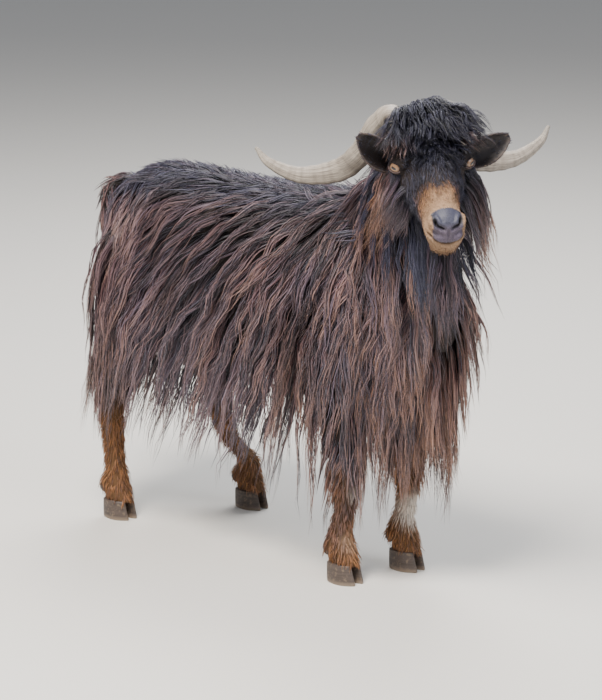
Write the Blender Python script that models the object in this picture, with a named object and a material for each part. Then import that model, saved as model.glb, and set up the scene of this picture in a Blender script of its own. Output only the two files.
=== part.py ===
"""A long-haired Carpathian buck, life size, standing with its head turned to its right.

Metres, +Z up. The body faces +X and the animal's left is +Y. The floor is z = 0.
"""

import math
import random

import bpy
import numpy as np
from mathutils import Matrix, Vector
from mathutils.bvhtree import BVHTree

# Driving sizes
WITHERS = 0.695  # height of the skin over the shoulders
CORE = 0.014  # depth of the dense inner coat over the skin
GAP = 0.0005  # what a cutter is grown by, so that neighbours stay about 0.3 mm apart
FLOOR_CLEAR = 0.05  # the lowest that any hair reaches
HEAD_TURN = math.radians(-35)  # to the animal's right
HEAD_NOD = math.radians(22)  # muzzle below the level
HEAD_TILT = math.radians(2.5)  # right side lower
EYE_CENTRE = Vector((0.490, -0.120, 0.803))  # midway between the two eyes
EYE_RADIUS = 0.0125
EYE_AT = Vector((0.006, 0.0605, 0.012))  # left eyeball's centre, from EYE_CENTRE in the head
TO_CENTRE = Vector((-0.048, -0.0065, 0.0))  # from the withers' floor point to the model's floor centre

ROOT_DEPTH = 0.009  # how far a lock's root is sunk
DEEPEST = 0.08  # a lock's line strays no deeper than this into a form before it is moved out
SHORT, LONG = 4, 5  # pieces along a short lock and a long one
LOCK_CORNERS = 3  # a lock's two edges and the low ridge along its outside
LEFT, RIGHT = 1, -1
SIDES = ((LEFT, "left"), (RIGHT, "right"))
EAR_TIP = {LEFT: (-0.052, 0.150, 0.036), RIGHT: (-0.022, 0.119, 0.062)}  # ahead, out and up; each ear turns alone
AHEAD, DOWN = (1, 0, 0), (0, 0, -1)

COLOURS = {
    "coat_black": ((0.030, 0.022, 0.022), 0.75),
    "coat_brown": ((0.085, 0.045, 0.032), 0.75),
    "coat_tan": ((0.330, 0.145, 0.055), 0.75),
    "ear_skin": ((0.060, 0.045, 0.042), 0.70),
    "horn": ((0.420, 0.360, 0.300), 0.55),
    "hoof": ((0.060, 0.050, 0.045), 0.50),
    "eye": ((0.550, 0.400, 0.180), 0.12),
}

# Stations of the body's forms: x, y, z, half width and half height
TORSO = [
    (-0.404, 0.0, 0.560, 0.042, 0.058),
    (-0.376, 0.0, 0.560, 0.086, 0.108),
    (-0.306, 0.0, 0.555, 0.112, 0.140),
    (-0.220, 0.0, 0.550, 0.128, 0.148),
    (-0.100, 0.0, 0.530, 0.146, 0.164),
    (0.030, 0.0, 0.524, 0.150, 0.172),
    (0.150, 0.0, 0.526, 0.135, WITHERS - 0.526),
    (0.240, 0.0, 0.530, 0.118, 0.163),
    (0.320, 0.0, 0.525, 0.098, 0.145),
    (0.385, 0.0, 0.515, 0.070, 0.108),
    (0.420, 0.0, 0.508, 0.036, 0.055),
]
NECK = [
    (0.225, 0.0, 0.575, 0.068, 0.100),
    (0.300, -0.006, 0.634, 0.074, 0.110),
    (0.365, -0.030, 0.704, 0.066, 0.094),
    (0.413, -0.066, 0.770, 0.054, 0.074),
    (0.430, -0.080, 0.797, 0.046, 0.060),
]
HEAD = [
    (-0.096, 0.0, -0.004, 0.030, 0.032),
    (-0.076, 0.0, -0.002, 0.053, 0.059),
    (-0.040, 0.0, -0.007, 0.064, 0.070),
    (0.000, 0.0, -0.013, 0.062, 0.068),
    (0.034, 0.0, -0.021, 0.050, 0.060),
    (0.068, 0.0, -0.030, 0.038, 0.052),
    (0.098, 0.0, -0.036, 0.0335, 0.047),
    (0.124, 0.0, -0.039, 0.0345, 0.045),
    (0.143, 0.0, -0.040, 0.032, 0.040),
    (0.154, 0.0, -0.038, 0.023, 0.029),
]
TAIL = [
    (-0.385, 0.0, 0.645, 0.024, 0.016),
    (-0.425, 0.0, 0.648, 0.024, 0.015),
    (-0.466, 0.0, 0.626, 0.022, 0.014),
    (-0.484, 0.0, 0.580, 0.016, 0.010),
    (-0.488, 0.0, 0.545, 0.007, 0.006),
]
HORN = [  # out, back and up from the skull's top, then half the width up-down and front-back
    (0.026, -0.004, -0.029, 0.014, 0.024),
    (0.047, 0.015, 0.018, 0.017, 0.025),
    (0.070, 0.050, -0.003, 0.020, 0.021),
    (0.094, 0.090, -0.057, 0.022, 0.015),
    (0.129, 0.126, -0.091, 0.0215, 0.011),
    (0.194, 0.142, -0.097, 0.015, 0.009),
    (0.245, 0.156, -0.074, 0.009, 0.006),
    (0.267, 0.170, -0.047, 0.0035, 0.003),
]
# Feet on the floor, as x and y, then how far the knee or hock stands from over the foot
FEET = {
    "fore_right": (0.258, -0.085, 0.000, 0.000),
    "fore_left": (0.283, 0.055, -0.006, 0.008),
    "hind_right": (-0.345, -0.100, -0.028, 0.004),
    "hind_left": (-0.212, 0.132, -0.085, -0.014),
}

# Rounded forms along a curved axis


def catmull(rows, t):
    """The row of numbers at t, from 0 to 1, on a smooth curve through rows."""
    spans = len(rows) - 1
    at = min(max(t, 0.0), 1.0) * spans
    i = min(int(at), spans - 1)
    u = at - i
    p1, p2 = rows[i], rows[i + 1]
    p0 = rows[i - 1] if i else 2 * p1 - p2
    p3 = rows[i + 2] if i + 2 <= spans else 2 * p2 - p1
    cubic = (-p0 + 3 * p1 - 3 * p2 + p3) * u**3 + (2 * p0 - 5 * p1 + 4 * p2 - p3) * u**2
    return 0.5 * (cubic + (p2 - p0) * u + 2 * p1)


class Form:
    """A closed, rounded body through stations of x, y, z, half width and half height."""

    def __init__(self, stations, up, rings, sides, place=None, axis=None):
        self.rows = np.array(stations, float)
        self.up = Vector(up)
        self.axis = axis  # keeps every ring square to it, where the rings are too tall to tilt
        self.rings, self.sides = rings, sides
        self.place = place or Matrix.Identity(4)

    def frame(self, t):
        """Centre, direction, left, top, half width and half height at t along the axis."""
        x, y, z, width, height = catmull(self.rows, t)
        step = 0.01
        along = Vector(catmull(self.rows, t + step)[:3] - catmull(self.rows, t - step)[:3])
        along = Vector(self.axis or along).normalized()
        left = self.up.cross(along).normalized()
        return Vector((x, y, z)), along, left, along.cross(left), max(width, 0.001), max(height, 0.001)

    def point(self, t, angle, grow=0.0):
        """A point of the surface: angle 0 is the left, a quarter turn the top."""
        centre, _, left, top, width, height = self.frame(t)
        across = left * (width + grow) * math.cos(angle)
        return self.place @ (centre + across + top * (height + grow) * math.sin(angle))

    def mesh(self, grow=0.0):
        """Points and triangles, with each end closed by a fan on a rounded pole."""
        points, faces = [], []
        for i in range(self.rings):
            t = i / (self.rings - 1)
            points += [self.point(t, 2 * math.pi * k / self.sides, grow) for k in range(self.sides)]
        faces += tube_faces(self.rings, self.sides)
        for t, way, first in ((0.0, -1, 0), (1.0, 1, (self.rings - 1) * self.sides)):
            centre, along, _, _, width, height = self.frame(t)
            points.append(self.place @ (centre + along * way * (0.45 * min(width, height) + grow)))
            pole = len(points) - 1
            for k in range(self.sides):
                a, b = first + k, first + (k + 1) % self.sides
                faces.append((b, a, pole) if way < 0 else (a, b, pole))
        return points, faces


def tube_faces(rings, corners):
    """Triangles between rings of points."""
    faces = []
    for i in range(rings - 1):
        for k in range(corners):
            a, b = i * corners + k, i * corners + (k + 1) % corners
            faces += [(a, b, b + corners), (a, b + corners, a + corners)]
    return faces


def ball(centre, radius, stretch=(1, 1, 1), turn=None, sides=10, rings=6):
    """make(grow) for an ellipsoid."""

    def make(grow):
        turned = turn or Matrix.Identity(3)
        points = []
        for i in range(1, rings):
            low = math.pi * i / rings
            for k in range(sides):
                a = 2 * math.pi * k / sides
                at = (math.sin(low) * math.cos(a), math.sin(low) * math.sin(a), -math.cos(low))
                sized = Vector([at[n] * (radius * stretch[n] + grow) for n in range(3)])
                points.append(centre + turned @ sized)
        faces = tube_faces(rings - 1, sides)
        for way, first in ((-1, 0), (1, (rings - 2) * sides)):
            points.append(centre + turned @ Vector((0, 0, way * (radius * stretch[2] + grow))))
            pole = len(points) - 1
            for k in range(sides):
                a, b = first + k, first + (k + 1) % sides
                faces.append((b, a, pole) if way < 0 else (a, b, pole))
        return points, faces

    return make


def cord(path, radius, corners=4):
    """make(grow) for a tube along path, narrowing to a third at its ends."""

    def make(grow):
        points = []
        last = len(path) - 1
        side = (path[1] - path[0]).orthogonal().normalized()
        for i, centre in enumerate(path):
            along = (path[min(i + 1, last)] - path[max(i - 1, 0)]).normalized()
            side = (side - along * side.dot(along)).normalized()
            other = along.cross(side)
            wide = radius * (1.0 if 0 < i < last else 0.35) + grow
            for k in range(corners):
                a = 2 * math.pi * k / corners
                points.append(centre + (side * math.cos(a) + other * math.sin(a)) * wide)
        faces = tube_faces(len(path), corners)
        end = last * corners
        for k in range(1, corners - 1):
            faces += [(0, k + 1, k), (end, end + k, end + k + 1)]
        return points, faces

    return make


# Locks of hair


def tree_of(make, grow=0.0):
    """A search tree over the surface that make(grow) gives."""
    points, faces = outward_facing(make(grow))
    return BVHTree.FromPolygons([tuple(p) for p in points], faces)


def kept_clear(point, tree, gap):
    """point, moved straight out where it is inside a surface, or nearer than gap to it."""
    near, normal, _, distance = tree.find_nearest(point)
    inside = distance < DEEPEST and (point - near).dot(normal) < 0
    return near + normal * gap if inside or distance < gap else point


def combed(root, tree, lie, length, lift, pieces=SHORT, clear_of=(), sway=0.0):
    """A lock's middle line, as points with the way that each faces, from its sunk root to its tip.

    It lies along the surface while lie points into it, rises to lift above it, and hangs free past it.
    """
    lie = Vector(lie).normalized()
    near, outward, _, _ = tree.find_nearest(root)
    line = [(near - outward * ROOT_DEPTH, outward)]
    point = near
    for i in range(1, pieces + 1):
        share = i / pieces
        way = (lie - outward * min(0.0, lie.dot(outward))).normalized()
        aside = way.cross(outward).normalized() * sway * math.sin(share * 4.2)
        point = point + (way + aside).normalized() * length / pieces
        point = kept_clear(point, tree, lift * share)
        for other, gap in clear_of:
            point = kept_clear(point, other, gap)
        point.z = max(point.z, FLOOR_CLEAR)
        outward = (outward + tree.find_nearest(point)[1]).normalized()
        line.append((point, outward))
    return line


def lock(line, width, thick):
    """make(grow) for a flat lock along a line, widest before its middle and tapered to a point."""

    def make(grow):
        points = []
        last = len(line) - 1
        for i, (centre, outward) in enumerate(line[:-1]):
            share = i / last
            along = (line[i + 1][0] - line[max(i - 1, 0)][0]).normalized()
            side = along.cross(outward).normalized()
            flat = side.cross(along)
            half = 0.5 * width * (0.66 + 1.1 * share - 1.4 * share**2) + 2.5 * grow
            deep = 0.7 * thick * (1.0 - 0.6 * share) + 1.5 * grow
            points += [centre + side * half - flat * 0.3 * deep, centre + flat * deep]
            points.append(centre - side * half - flat * 0.3 * deep)
        faces = tube_faces(last, LOCK_CORNERS)
        tip = line[-1][0]
        points.append(tip + (tip - line[-2][0]).normalized() * grow * 3)
        end = (last - 1) * LOCK_CORNERS
        for k in range(LOCK_CORNERS):
            faces.append((end + k, end + (k + 1) % LOCK_CORNERS, len(points) - 1))
        faces.append((0, 2, 1))
        return points, faces

    return make


# Objects and Booleans


def clear_scene():
    for obj in list(bpy.data.objects):
        bpy.data.objects.remove(obj, do_unlink=True)


def material(name):
    """A Principled BSDF with this finish's colour and roughness."""
    made = bpy.data.materials.get(name)
    if made:
        return made
    colour, roughness = COLOURS[name]
    made = bpy.data.materials.new(name)
    made.use_nodes = True
    shader = made.node_tree.nodes["Principled BSDF"]
    shader.inputs["Base Color"].default_value = (*colour, 1.0)
    shader.inputs["Roughness"].default_value = roughness
    return made


def outward_facing(piece):
    """The piece with its triangles turned to face out."""
    points, faces = piece
    volume = sum(points[a].dot(points[b].cross(points[c])) for a, b, c in faces)
    return (points, faces) if volume > 0 else (points, [(a, c, b) for a, b, c in faces])


def mesh_object(name, piece, collection):
    points, faces = outward_facing(piece)
    mesh = bpy.data.meshes.new(name)
    mesh.from_pydata([tuple(p) for p in points], [], faces)
    obj = bpy.data.objects.new(name, mesh)
    collection.objects.link(obj)
    return obj


def combine(obj, pieces, operation):
    """Applies one Boolean of obj with all the pieces, then removes them."""
    if not pieces:
        return
    group = bpy.data.collections.new("pieces")
    bpy.context.scene.collection.children.link(group)
    for i, piece in enumerate(pieces):
        mesh_object(f"piece_{i}", piece, group)
    change = obj.modifiers.new(operation, "BOOLEAN")
    change.operation = operation
    change.operand_type = "COLLECTION"
    change.collection = group
    change.solver = "MANIFOLD"
    bpy.context.view_layer.update()
    graph = bpy.context.evaluated_depsgraph_get()
    result = bpy.data.meshes.new_from_object(obj.evaluated_get(graph))
    obj.modifiers.clear()
    obj.data = result
    for piece in list(group.objects):
        bpy.data.objects.remove(piece, do_unlink=True)
    bpy.data.collections.remove(group)


def keep_largest(obj):
    """Leaves only the mesh's largest closed surface, in triangles, and gives how many others it had."""
    mesh = obj.data
    mesh.calc_loop_triangles()
    tris = [tuple(t.vertices) for t in mesh.loop_triangles]
    at_edge = {}
    for i, tri in enumerate(tris):
        for a, b in zip(tri, tri[1:] + tri[:1]):
            at_edge.setdefault((min(a, b), max(a, b)), []).append(i)
    parent = list(range(len(tris)))

    def top(i):
        while parent[i] != i:
            parent[i] = parent[parent[i]]
            i = parent[i]
        return i

    for touching in at_edge.values():
        if len(touching) == 2:
            parent[top(touching[0])] = top(touching[1])
    volume = {}
    for i, tri in enumerate(tris):
        a, b, c = (mesh.vertices[k].co for k in tri)
        volume[top(i)] = volume.get(top(i), 0.0) + a.dot(b.cross(c))
    best = max(volume, key=volume.get)
    kept = [tri for i, tri in enumerate(tris) if top(i) == best]
    used = sorted({k for tri in kept for k in tri})
    renamed = {old: new for new, old in enumerate(used)}
    points = [tuple(mesh.vertices[k].co) for k in used]
    clean = bpy.data.meshes.new(obj.name)
    clean.from_pydata(points, [], [[renamed[k] for k in tri] for tri in kept])
    obj.data = clean
    return len(volume) - 1


class Node:
    """A named piece of the animal: solids that are fused, and grown copies that cut its neighbours."""

    def __init__(self, name, finish):
        self.name, self.finish = name, finish
        self.solids, self.cutters = [], []
        self.locks = 0

    def add(self, make):
        """make(grow) gives a solid as points and triangles."""
        self.solids.append(make(0.0))
        self.cutters.append(make(GAP))

    def add_lock(self, line, width, thick):
        self.add(lock(line, width, thick))
        self.locks += 1

    def build(self, cut_by=(), carve=()):
        obj = mesh_object(self.name, self.solids[0], bpy.context.scene.collection)
        combine(obj, self.solids[1:], "UNION")
        cutters = [piece for node in cut_by for piece in node.cutters]
        combine(obj, [make(0.0) for make in carve] + cutters, "DIFFERENCE")
        dropped = keep_largest(obj)
        obj.data.materials.append(material(self.finish))
        obj.data.shade_smooth()
        obj.data.set_sharp_from_angle(angle=math.radians(50))
        obj.location = TO_CENTRE
        print(f"{self.name}: {self.locks} locks, {len(obj.data.polygons)} triangles, {dropped} scraps dropped")
        return obj


# The head


def head_place():
    """Carries the head's own axes, +X along the muzzle, to the model."""
    turn = Matrix.Rotation(HEAD_TURN, 4, "Z") @ Matrix.Rotation(HEAD_NOD, 4, "Y")
    return Matrix.Translation(EYE_CENTRE) @ turn @ Matrix.Rotation(HEAD_TILT, 4, "X")


def level_place(at=(0.0, 0.0, 0.0)):
    """The head's axes without its nod, from a point given in them."""
    turn = Matrix.Rotation(HEAD_TURN, 4, "Z") @ Matrix.Rotation(HEAD_TILT, 4, "X")
    return Matrix.Translation(EYE_CENTRE + turn.to_3x3() @ Vector(at)) @ turn


def muzzle_line(form, height, first, proud=0.0):
    """Points round the muzzle at one height, from the right cheek over the front to the left."""
    right, left = [], []
    steps = 5
    for i in range(steps):
        t = first + (1.0 - first) * i / (steps - 1)
        centre, _, _, _, width, tall = form.frame(t)
        share = min(0.95, abs(height - centre.z) / tall)
        half = (width + proud) * math.sqrt(1 - share**2)
        right.append(form.place @ Vector((centre.x, -half, height)))
        left.append(form.place @ Vector((centre.x, half, height)))
    front = form.place @ Vector((HEAD[-1][0] + 0.008 + proud, 0.0, height))
    return right + [front] + left[::-1]


def lid(side, above):
    """The middle line of an eyelid, over the eyeball from its back corner to its front one."""
    out = Vector((0.34, side * 0.93, 0.10)).normalized()
    ahead = (Vector((1, 0, 0)) - out * out.x).normalized()
    up = out.cross(ahead) * side * -1
    centre = Vector((EYE_AT.x, side * EYE_AT.y, EYE_AT.z))
    path = []
    steps = 5
    for i in range(steps + 1):
        turn = math.radians(-80 + 160 * i / steps)
        rise = math.radians(38 if above else -34) * math.cos(turn)
        ring = out * math.cos(turn) + ahead * math.sin(turn)
        path.append(centre + (ring * math.cos(rise) + up * math.sin(rise)) * (EYE_RADIUS + 0.0012))
    return path


def ear(side):
    """make(grow) for a cupped ear, open to the front."""
    root, tip = Vector((-0.058, 0.058, 0.004)), Vector(EAR_TIP[side])
    half_width, thick = 0.023, 0.0042
    rows, columns = 6, 7
    opening = Vector((0.94, -0.10, -0.22))

    def make(grow):
        place = level_place()
        along = (tip - root).normalized()
        mouth = (opening - along * opening.dot(along)).normalized()
        wide = along.cross(mouth)
        layers = ([], [])
        for i in range(rows):
            u = i / (rows - 1)
            half = half_width * (0.50 + 1.45 * u - 1.72 * u**3) + 0.002
            spread = math.radians(112 - 50 * u)
            radius = half / math.sin(min(spread, math.pi / 2))
            centre = root.lerp(tip, u) + along * (grow if i == rows - 1 else -grow if i == 0 else 0.0)
            for k in range(columns):
                a = spread * (2 * k / (columns - 1) - 1)
                a += math.copysign(grow / radius, a) if k in (0, columns - 1) else 0.0
                for layer, offset in zip(layers, (0.5 * thick + grow, -0.5 * thick - grow)):
                    r = radius + offset
                    at = centre + wide * r * math.sin(a) - mouth * (r * math.cos(a) - radius)
                    layer.append(place @ Vector((at.x, side * at.y, at.z)))
        points = layers[0] + layers[1]
        return points, sheet_faces(rows, columns)

    return make


def sheet_faces(rows, columns):
    """Triangles of two like grids of points, and of the rim between them."""
    inner = rows * columns
    faces = []
    for i in range(rows - 1):
        for k in range(columns - 1):
            a = i * columns + k
            b, c, d = a + 1, a + 1 + columns, a + columns
            faces += [(a, b, c), (a, c, d)]
            faces += [(inner + a, inner + c, inner + b), (inner + a, inner + d, inner + c)]
    rim = [k for k in range(columns)]
    rim += [i * columns + columns - 1 for i in range(1, rows)]
    rim += [(rows - 1) * columns + k for k in range(columns - 2, -1, -1)]
    rim += [i * columns for i in range(rows - 2, 0, -1)]
    for a, b in zip(rim, rim[1:] + rim[:1]):
        faces += [(a, inner + b, b), (a, inner + a, inner + b)]
    return faces


def horn(side):
    """The form of one horn: a flat blade, back and out from the skull, then up at its tip."""
    stations = [(-back, side * out, up, wide, deep) for out, back, up, wide, deep in HORN]
    return Form(stations, AHEAD, 13, 8, level_place((-0.055, 0.0, 0.065)))


def forelock(node, tree, centre, turn):
    """A mop of locks that fall from the crown to the brow and to both sides."""
    for steep, length, lift in ((24, 0.086, 0.020), (58, 0.074, 0.014)):
        for k in range(7):
            around = math.radians(-126 + 42 * k + (10 if steep > 40 else 0))
            way = Vector((math.cos(around), math.sin(around), 0.0))
            up = math.radians(90 - steep)
            root = centre + turn @ (way * math.cos(up) + Vector((0, 0, math.sin(up)))) * 0.07
            line = combed(root, tree, turn @ (way - Vector((0, 0, 0.35))), length * random.uniform(0.88, 1.12),
                          lift, sway=random.uniform(-0.2, 0.2))
            node.add_lock(line, 0.042, 0.015)


def beard(node, tree, place):
    """Locks that hang from the chin and the jaws, longest in the middle."""
    for k in range(5):
        across = (k - 2) / 2
        root = place @ Vector((0.118 - 0.030 * (k % 2), across * 0.022, -0.086))
        length = (0.215 - 0.060 * abs(across)) * random.uniform(0.92, 1.08)
        lie = (0.10, across * 0.12, -1.0)
        line = combed(root, tree, lie, length, 0.010, LONG, sway=random.uniform(-0.2, 0.2))
        node.add_lock(line, 0.036, 0.015)


def cheeks(node, tree, place, clear_of):
    """Long locks behind each cheek, below the ear."""
    for side, _ in SIDES:
        for k in range(3):
            root = place @ Vector((-0.068 + 0.034 * k, side * 0.070, -0.020 - 0.014 * k))
            length = (0.155 - 0.018 * k) * random.uniform(0.9, 1.1)
            lie = place.to_3x3() @ Vector((-0.10, side * 0.22, -1.0))
            line = combed(root, tree, lie, length, 0.020, SHORT, clear_of, random.uniform(-0.2, 0.2))
            node.add_lock(line, 0.034, 0.014)


# The legs


def upper_leg(name):
    """The leg from the shoulder or hip down to the knee or hock."""
    x, y, joint_x, joint_y = FEET[name]
    kx, ky = x + joint_x, y + joint_y
    side = LEFT if y > 0 else RIGHT
    if name.startswith("fore"):
        stations = [
            (0.225, side * 0.078, 0.545, 0.040, 0.075),
            (0.222, side * 0.096, 0.460, 0.048, 0.078),
            (0.205, side * 0.094, 0.385, 0.042, 0.060),
            ((kx + 0.222) / 2, (ky + side * 0.090) / 2, 0.290, 0.033, 0.038),
            (kx - 0.004, ky, 0.215, 0.027, 0.029),
            (kx - 0.004, ky, 0.185, 0.024, 0.026),
        ]
    else:
        stations = [
            (-0.275, side * 0.075, 0.590, 0.050, 0.085),
            (-0.280, side * 0.100, 0.500, 0.056, 0.105),
            (-0.262, side * 0.112, 0.410, 0.050, 0.092),
            ((kx - 0.285) / 2, (ky + side * 0.108) / 2, 0.320, 0.036, 0.055),
            (kx, ky, 0.250, 0.026, 0.036),
            (kx, ky, 0.222, 0.022, 0.029),
        ]
    return Form(stations, AHEAD, 9, 10, axis=DOWN)


def lower_leg(name):
    """The cannon, fetlock and pastern."""
    x, y, joint_x, joint_y = FEET[name]
    kx, ky = x + joint_x, y + joint_y
    top = 0.200 if name.startswith("fore") else 0.240
    stations = [
        (kx - 0.004, ky, top, 0.020, 0.023),
        (kx - 0.003, ky, top - 0.020, 0.025, 0.028),
        ((kx * 2 + x) / 3 - 0.004, (ky * 2 + y) / 3, 0.140, 0.0195, 0.021),
        (x - 0.014, y, 0.098, 0.021, 0.022),
        (x - 0.016, y, 0.072, 0.026, 0.028),
        (x - 0.004, y, 0.046, 0.024, 0.027),
        (x + 0.002, y, 0.034, 0.020, 0.025),
    ]
    return Form(stations, AHEAD, 8, 7, axis=DOWN)


def dewclaws(name):
    """The two small claws behind the fetlock."""
    x, y, _, _ = FEET[name]
    turn = Matrix.Rotation(math.radians(-25), 3, "Y")
    return [ball(Vector((x - 0.036, y + side * 0.012, 0.060)), 0.010, (1.0, 0.8, 1.3), turn, 6, 4)
            for side, _ in SIDES]


def claw(foot_x, foot_y, side):
    """make(grow) for one of the two toes of a hoof, flat on the floor."""
    length, width, height = 0.064, 0.026, 0.037
    inner = 0.0022
    levels = ((0.0, 1.0, 0.000), (1.0, 0.82, -0.010))
    corners = 10

    def make(grow):
        points = []
        for up, share, back in levels:
            for k in range(corners):
                a = 2 * math.pi * k / corners
                ahead = math.cos(a)
                taper = 1.0 - 0.38 * max(ahead, 0.0) ** 2
                x = foot_x + back + 0.5 * length * share * ahead + math.copysign(grow, ahead)
                out = inner - grow + (width + 2 * grow) * share * taper * (0.5 + 0.5 * math.sin(a))
                points.append(Vector((x, foot_y + side * out, up * height + (grow if up == 1.0 else 0.0))))
        faces = tube_faces(len(levels), corners)
        top = (len(levels) - 1) * corners
        for k in range(1, corners - 1):
            faces += [(0, k + 1, k), (top, top + k, top + k + 1)]
        return points, faces

    return make


def leg_locks(node, form, tree, name):
    """Short locks on the back and outside of the upper leg, below the body."""
    side = LEFT if FEET[name][1] > 0 else RIGHT
    for k in range(3):
        angle = math.radians(-105 + 74 * k) if side == LEFT else math.radians(285 - 74 * k)
        root = form.point(0.60 + 0.05 * (k % 2), angle)
        line = combed(root, tree, (-0.25, side * 0.05, -1.0), random.uniform(0.085, 0.105), 0.010)
        node.add_lock(line, 0.042, 0.012)


# The long coat

FLANK_TIERS = [  # degrees from the spine, length, lift, first and last place along the trunk, how many, pieces
    (14, 0.130, 0.020, 0.16, 0.62, 4, SHORT),
    (38, 0.190, 0.028, 0.10, 0.68, 5, SHORT),
    (62, 0.250, 0.036, 0.08, 0.74, 6, LONG),
    (86, 0.305, 0.042, 0.05, 0.80, 7, LONG),
    (110, 0.325, 0.040, 0.07, 0.86, 8, LONG),
    (132, 0.250, 0.030, 0.22, 0.54, 2, SHORT),
]
NECK_TIERS = [  # place along the neck, length, lift, how many round it
    (0.22, 0.220, 0.036, 6),
    (0.47, 0.235, 0.034, 5),
    (0.73, 0.215, 0.030, 5),
]


REAR = -0.16  # behind this the coat is longer and lies closer to the body
REAR_LONGER = 0.7  # share of its length that a lock gains for each metre further back
REAR_LIFT = 0.35  # the least share of the lift that is left there


def flank_lie(x, side, degrees):
    """The coat falls down and back, most so over the flank, and sideways off the spine."""
    back = min(0.56, max(0.04, 2.0 * (0.31 - x))) - 2.2 * max(0.0, REAR - x)
    on_top = math.cos(math.radians(min(degrees, 90)))
    return (-back - 0.2 * on_top, side * 0.45 * on_top, -1.0)


def flanks(node, form, tree, legs):
    """Tiers of locks down both sides, each tier over the roots of the next."""
    for tier, (degrees, length, lift, first, last, count, pieces) in enumerate(FLANK_TIERS):
        for side, _ in SIDES:
            for k in range(count):
                t = first + (last - first) * (k + 0.5 * (tier % 2)) / (count - 0.5)
                angle = math.radians(90 - side * (degrees + random.uniform(-4, 4)))
                root = form.point(t, angle, CORE)
                lie = flank_lie(root.x, side, degrees)
                size = length * random.uniform(0.9, 1.1) * (1.0 + REAR_LONGER * max(0.0, REAR - root.x))
                closer = lift * max(REAR_LIFT, 1.0 - 2.5 * max(0.0, REAR - root.x))
                line = combed(root, tree, lie, size, closer, pieces, legs, random.uniform(-0.22, 0.22))
                node.add_lock(line, random.uniform(0.9, 1.1) * (0.078 + 0.0002 * degrees), 0.019)


def rump(node, form, tree, legs):
    """Locks over the hindquarters, that fall behind the thighs."""
    count = 3
    for degrees, length in ((38, 0.26), (78, 0.36), (112, 0.36)):
        for k in range(count):
            across = 2 * k / (count - 1) - 1
            root = form.point(0.04, math.radians(90 - degrees * across - 1), CORE) + Vector((-0.015, 0, 0))
            size = length * random.uniform(0.92, 1.08)
            line = combed(root, tree, (-0.10, across * 0.14, -1.0), size, 0.014, LONG, legs,
                          random.uniform(-0.2, 0.2))
            node.add_lock(line, 0.068, 0.018)


def brisket(node, form, tree, legs):
    """Locks down the chest, between and before the forelegs."""
    for tier, (t, length) in enumerate(((0.99, 0.27), (0.90, 0.30), (0.80, 0.27))):
        count = 4 - tier % 2
        for k in range(count):
            across = k - (count - 1) / 2
            degrees = -90 + across * (48 - 6 * tier)
            root = form.point(t, math.radians(degrees), CORE)
            size = length * random.uniform(0.92, 1.08)
            lie = (0.10 - 0.05 * tier, across * 0.05, -1.0)
            line = combed(root, tree, lie, size, 0.026, LONG, legs, random.uniform(-0.2, 0.2))
            node.add_lock(line, 0.058, 0.018)


def ruff(node, form, tree, clear_of):
    """Tiers round the neck, from the crest to the throat, that fall over the shoulders and chest."""
    for tier, (t, length, lift, count) in enumerate(NECK_TIERS):
        for k in range(count):
            degrees = 68 - 316 * (k + 0.25 * (tier % 2)) / (count - 0.75)
            root = form.point(t, math.radians(degrees), CORE)
            crest = max(0.0, math.sin(math.radians(degrees)))
            side = math.cos(math.radians(degrees))
            lie = (0.16 - 0.60 * crest, 0.30 * side * (0.4 + crest), -1.0)
            size = length * random.uniform(0.92, 1.08) * (1.0 - 0.35 * crest)
            line = combed(root, tree, lie, size, lift, LONG, clear_of, random.uniform(-0.2, 0.2))
            node.add_lock(line, 0.060, 0.017)


def tail_locks(node, form, tree):
    for k in range(4):
        root = form.point(0.30 + 0.16 * k, math.radians(90 + 60 * (k - 1.5)))
        line = combed(root, tree, (-0.30, (1.5 - k) * 0.10, -1.0), 0.105, 0.008, sway=0.1)
        node.add_lock(line, 0.028, 0.012)


# The whole animal


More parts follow.
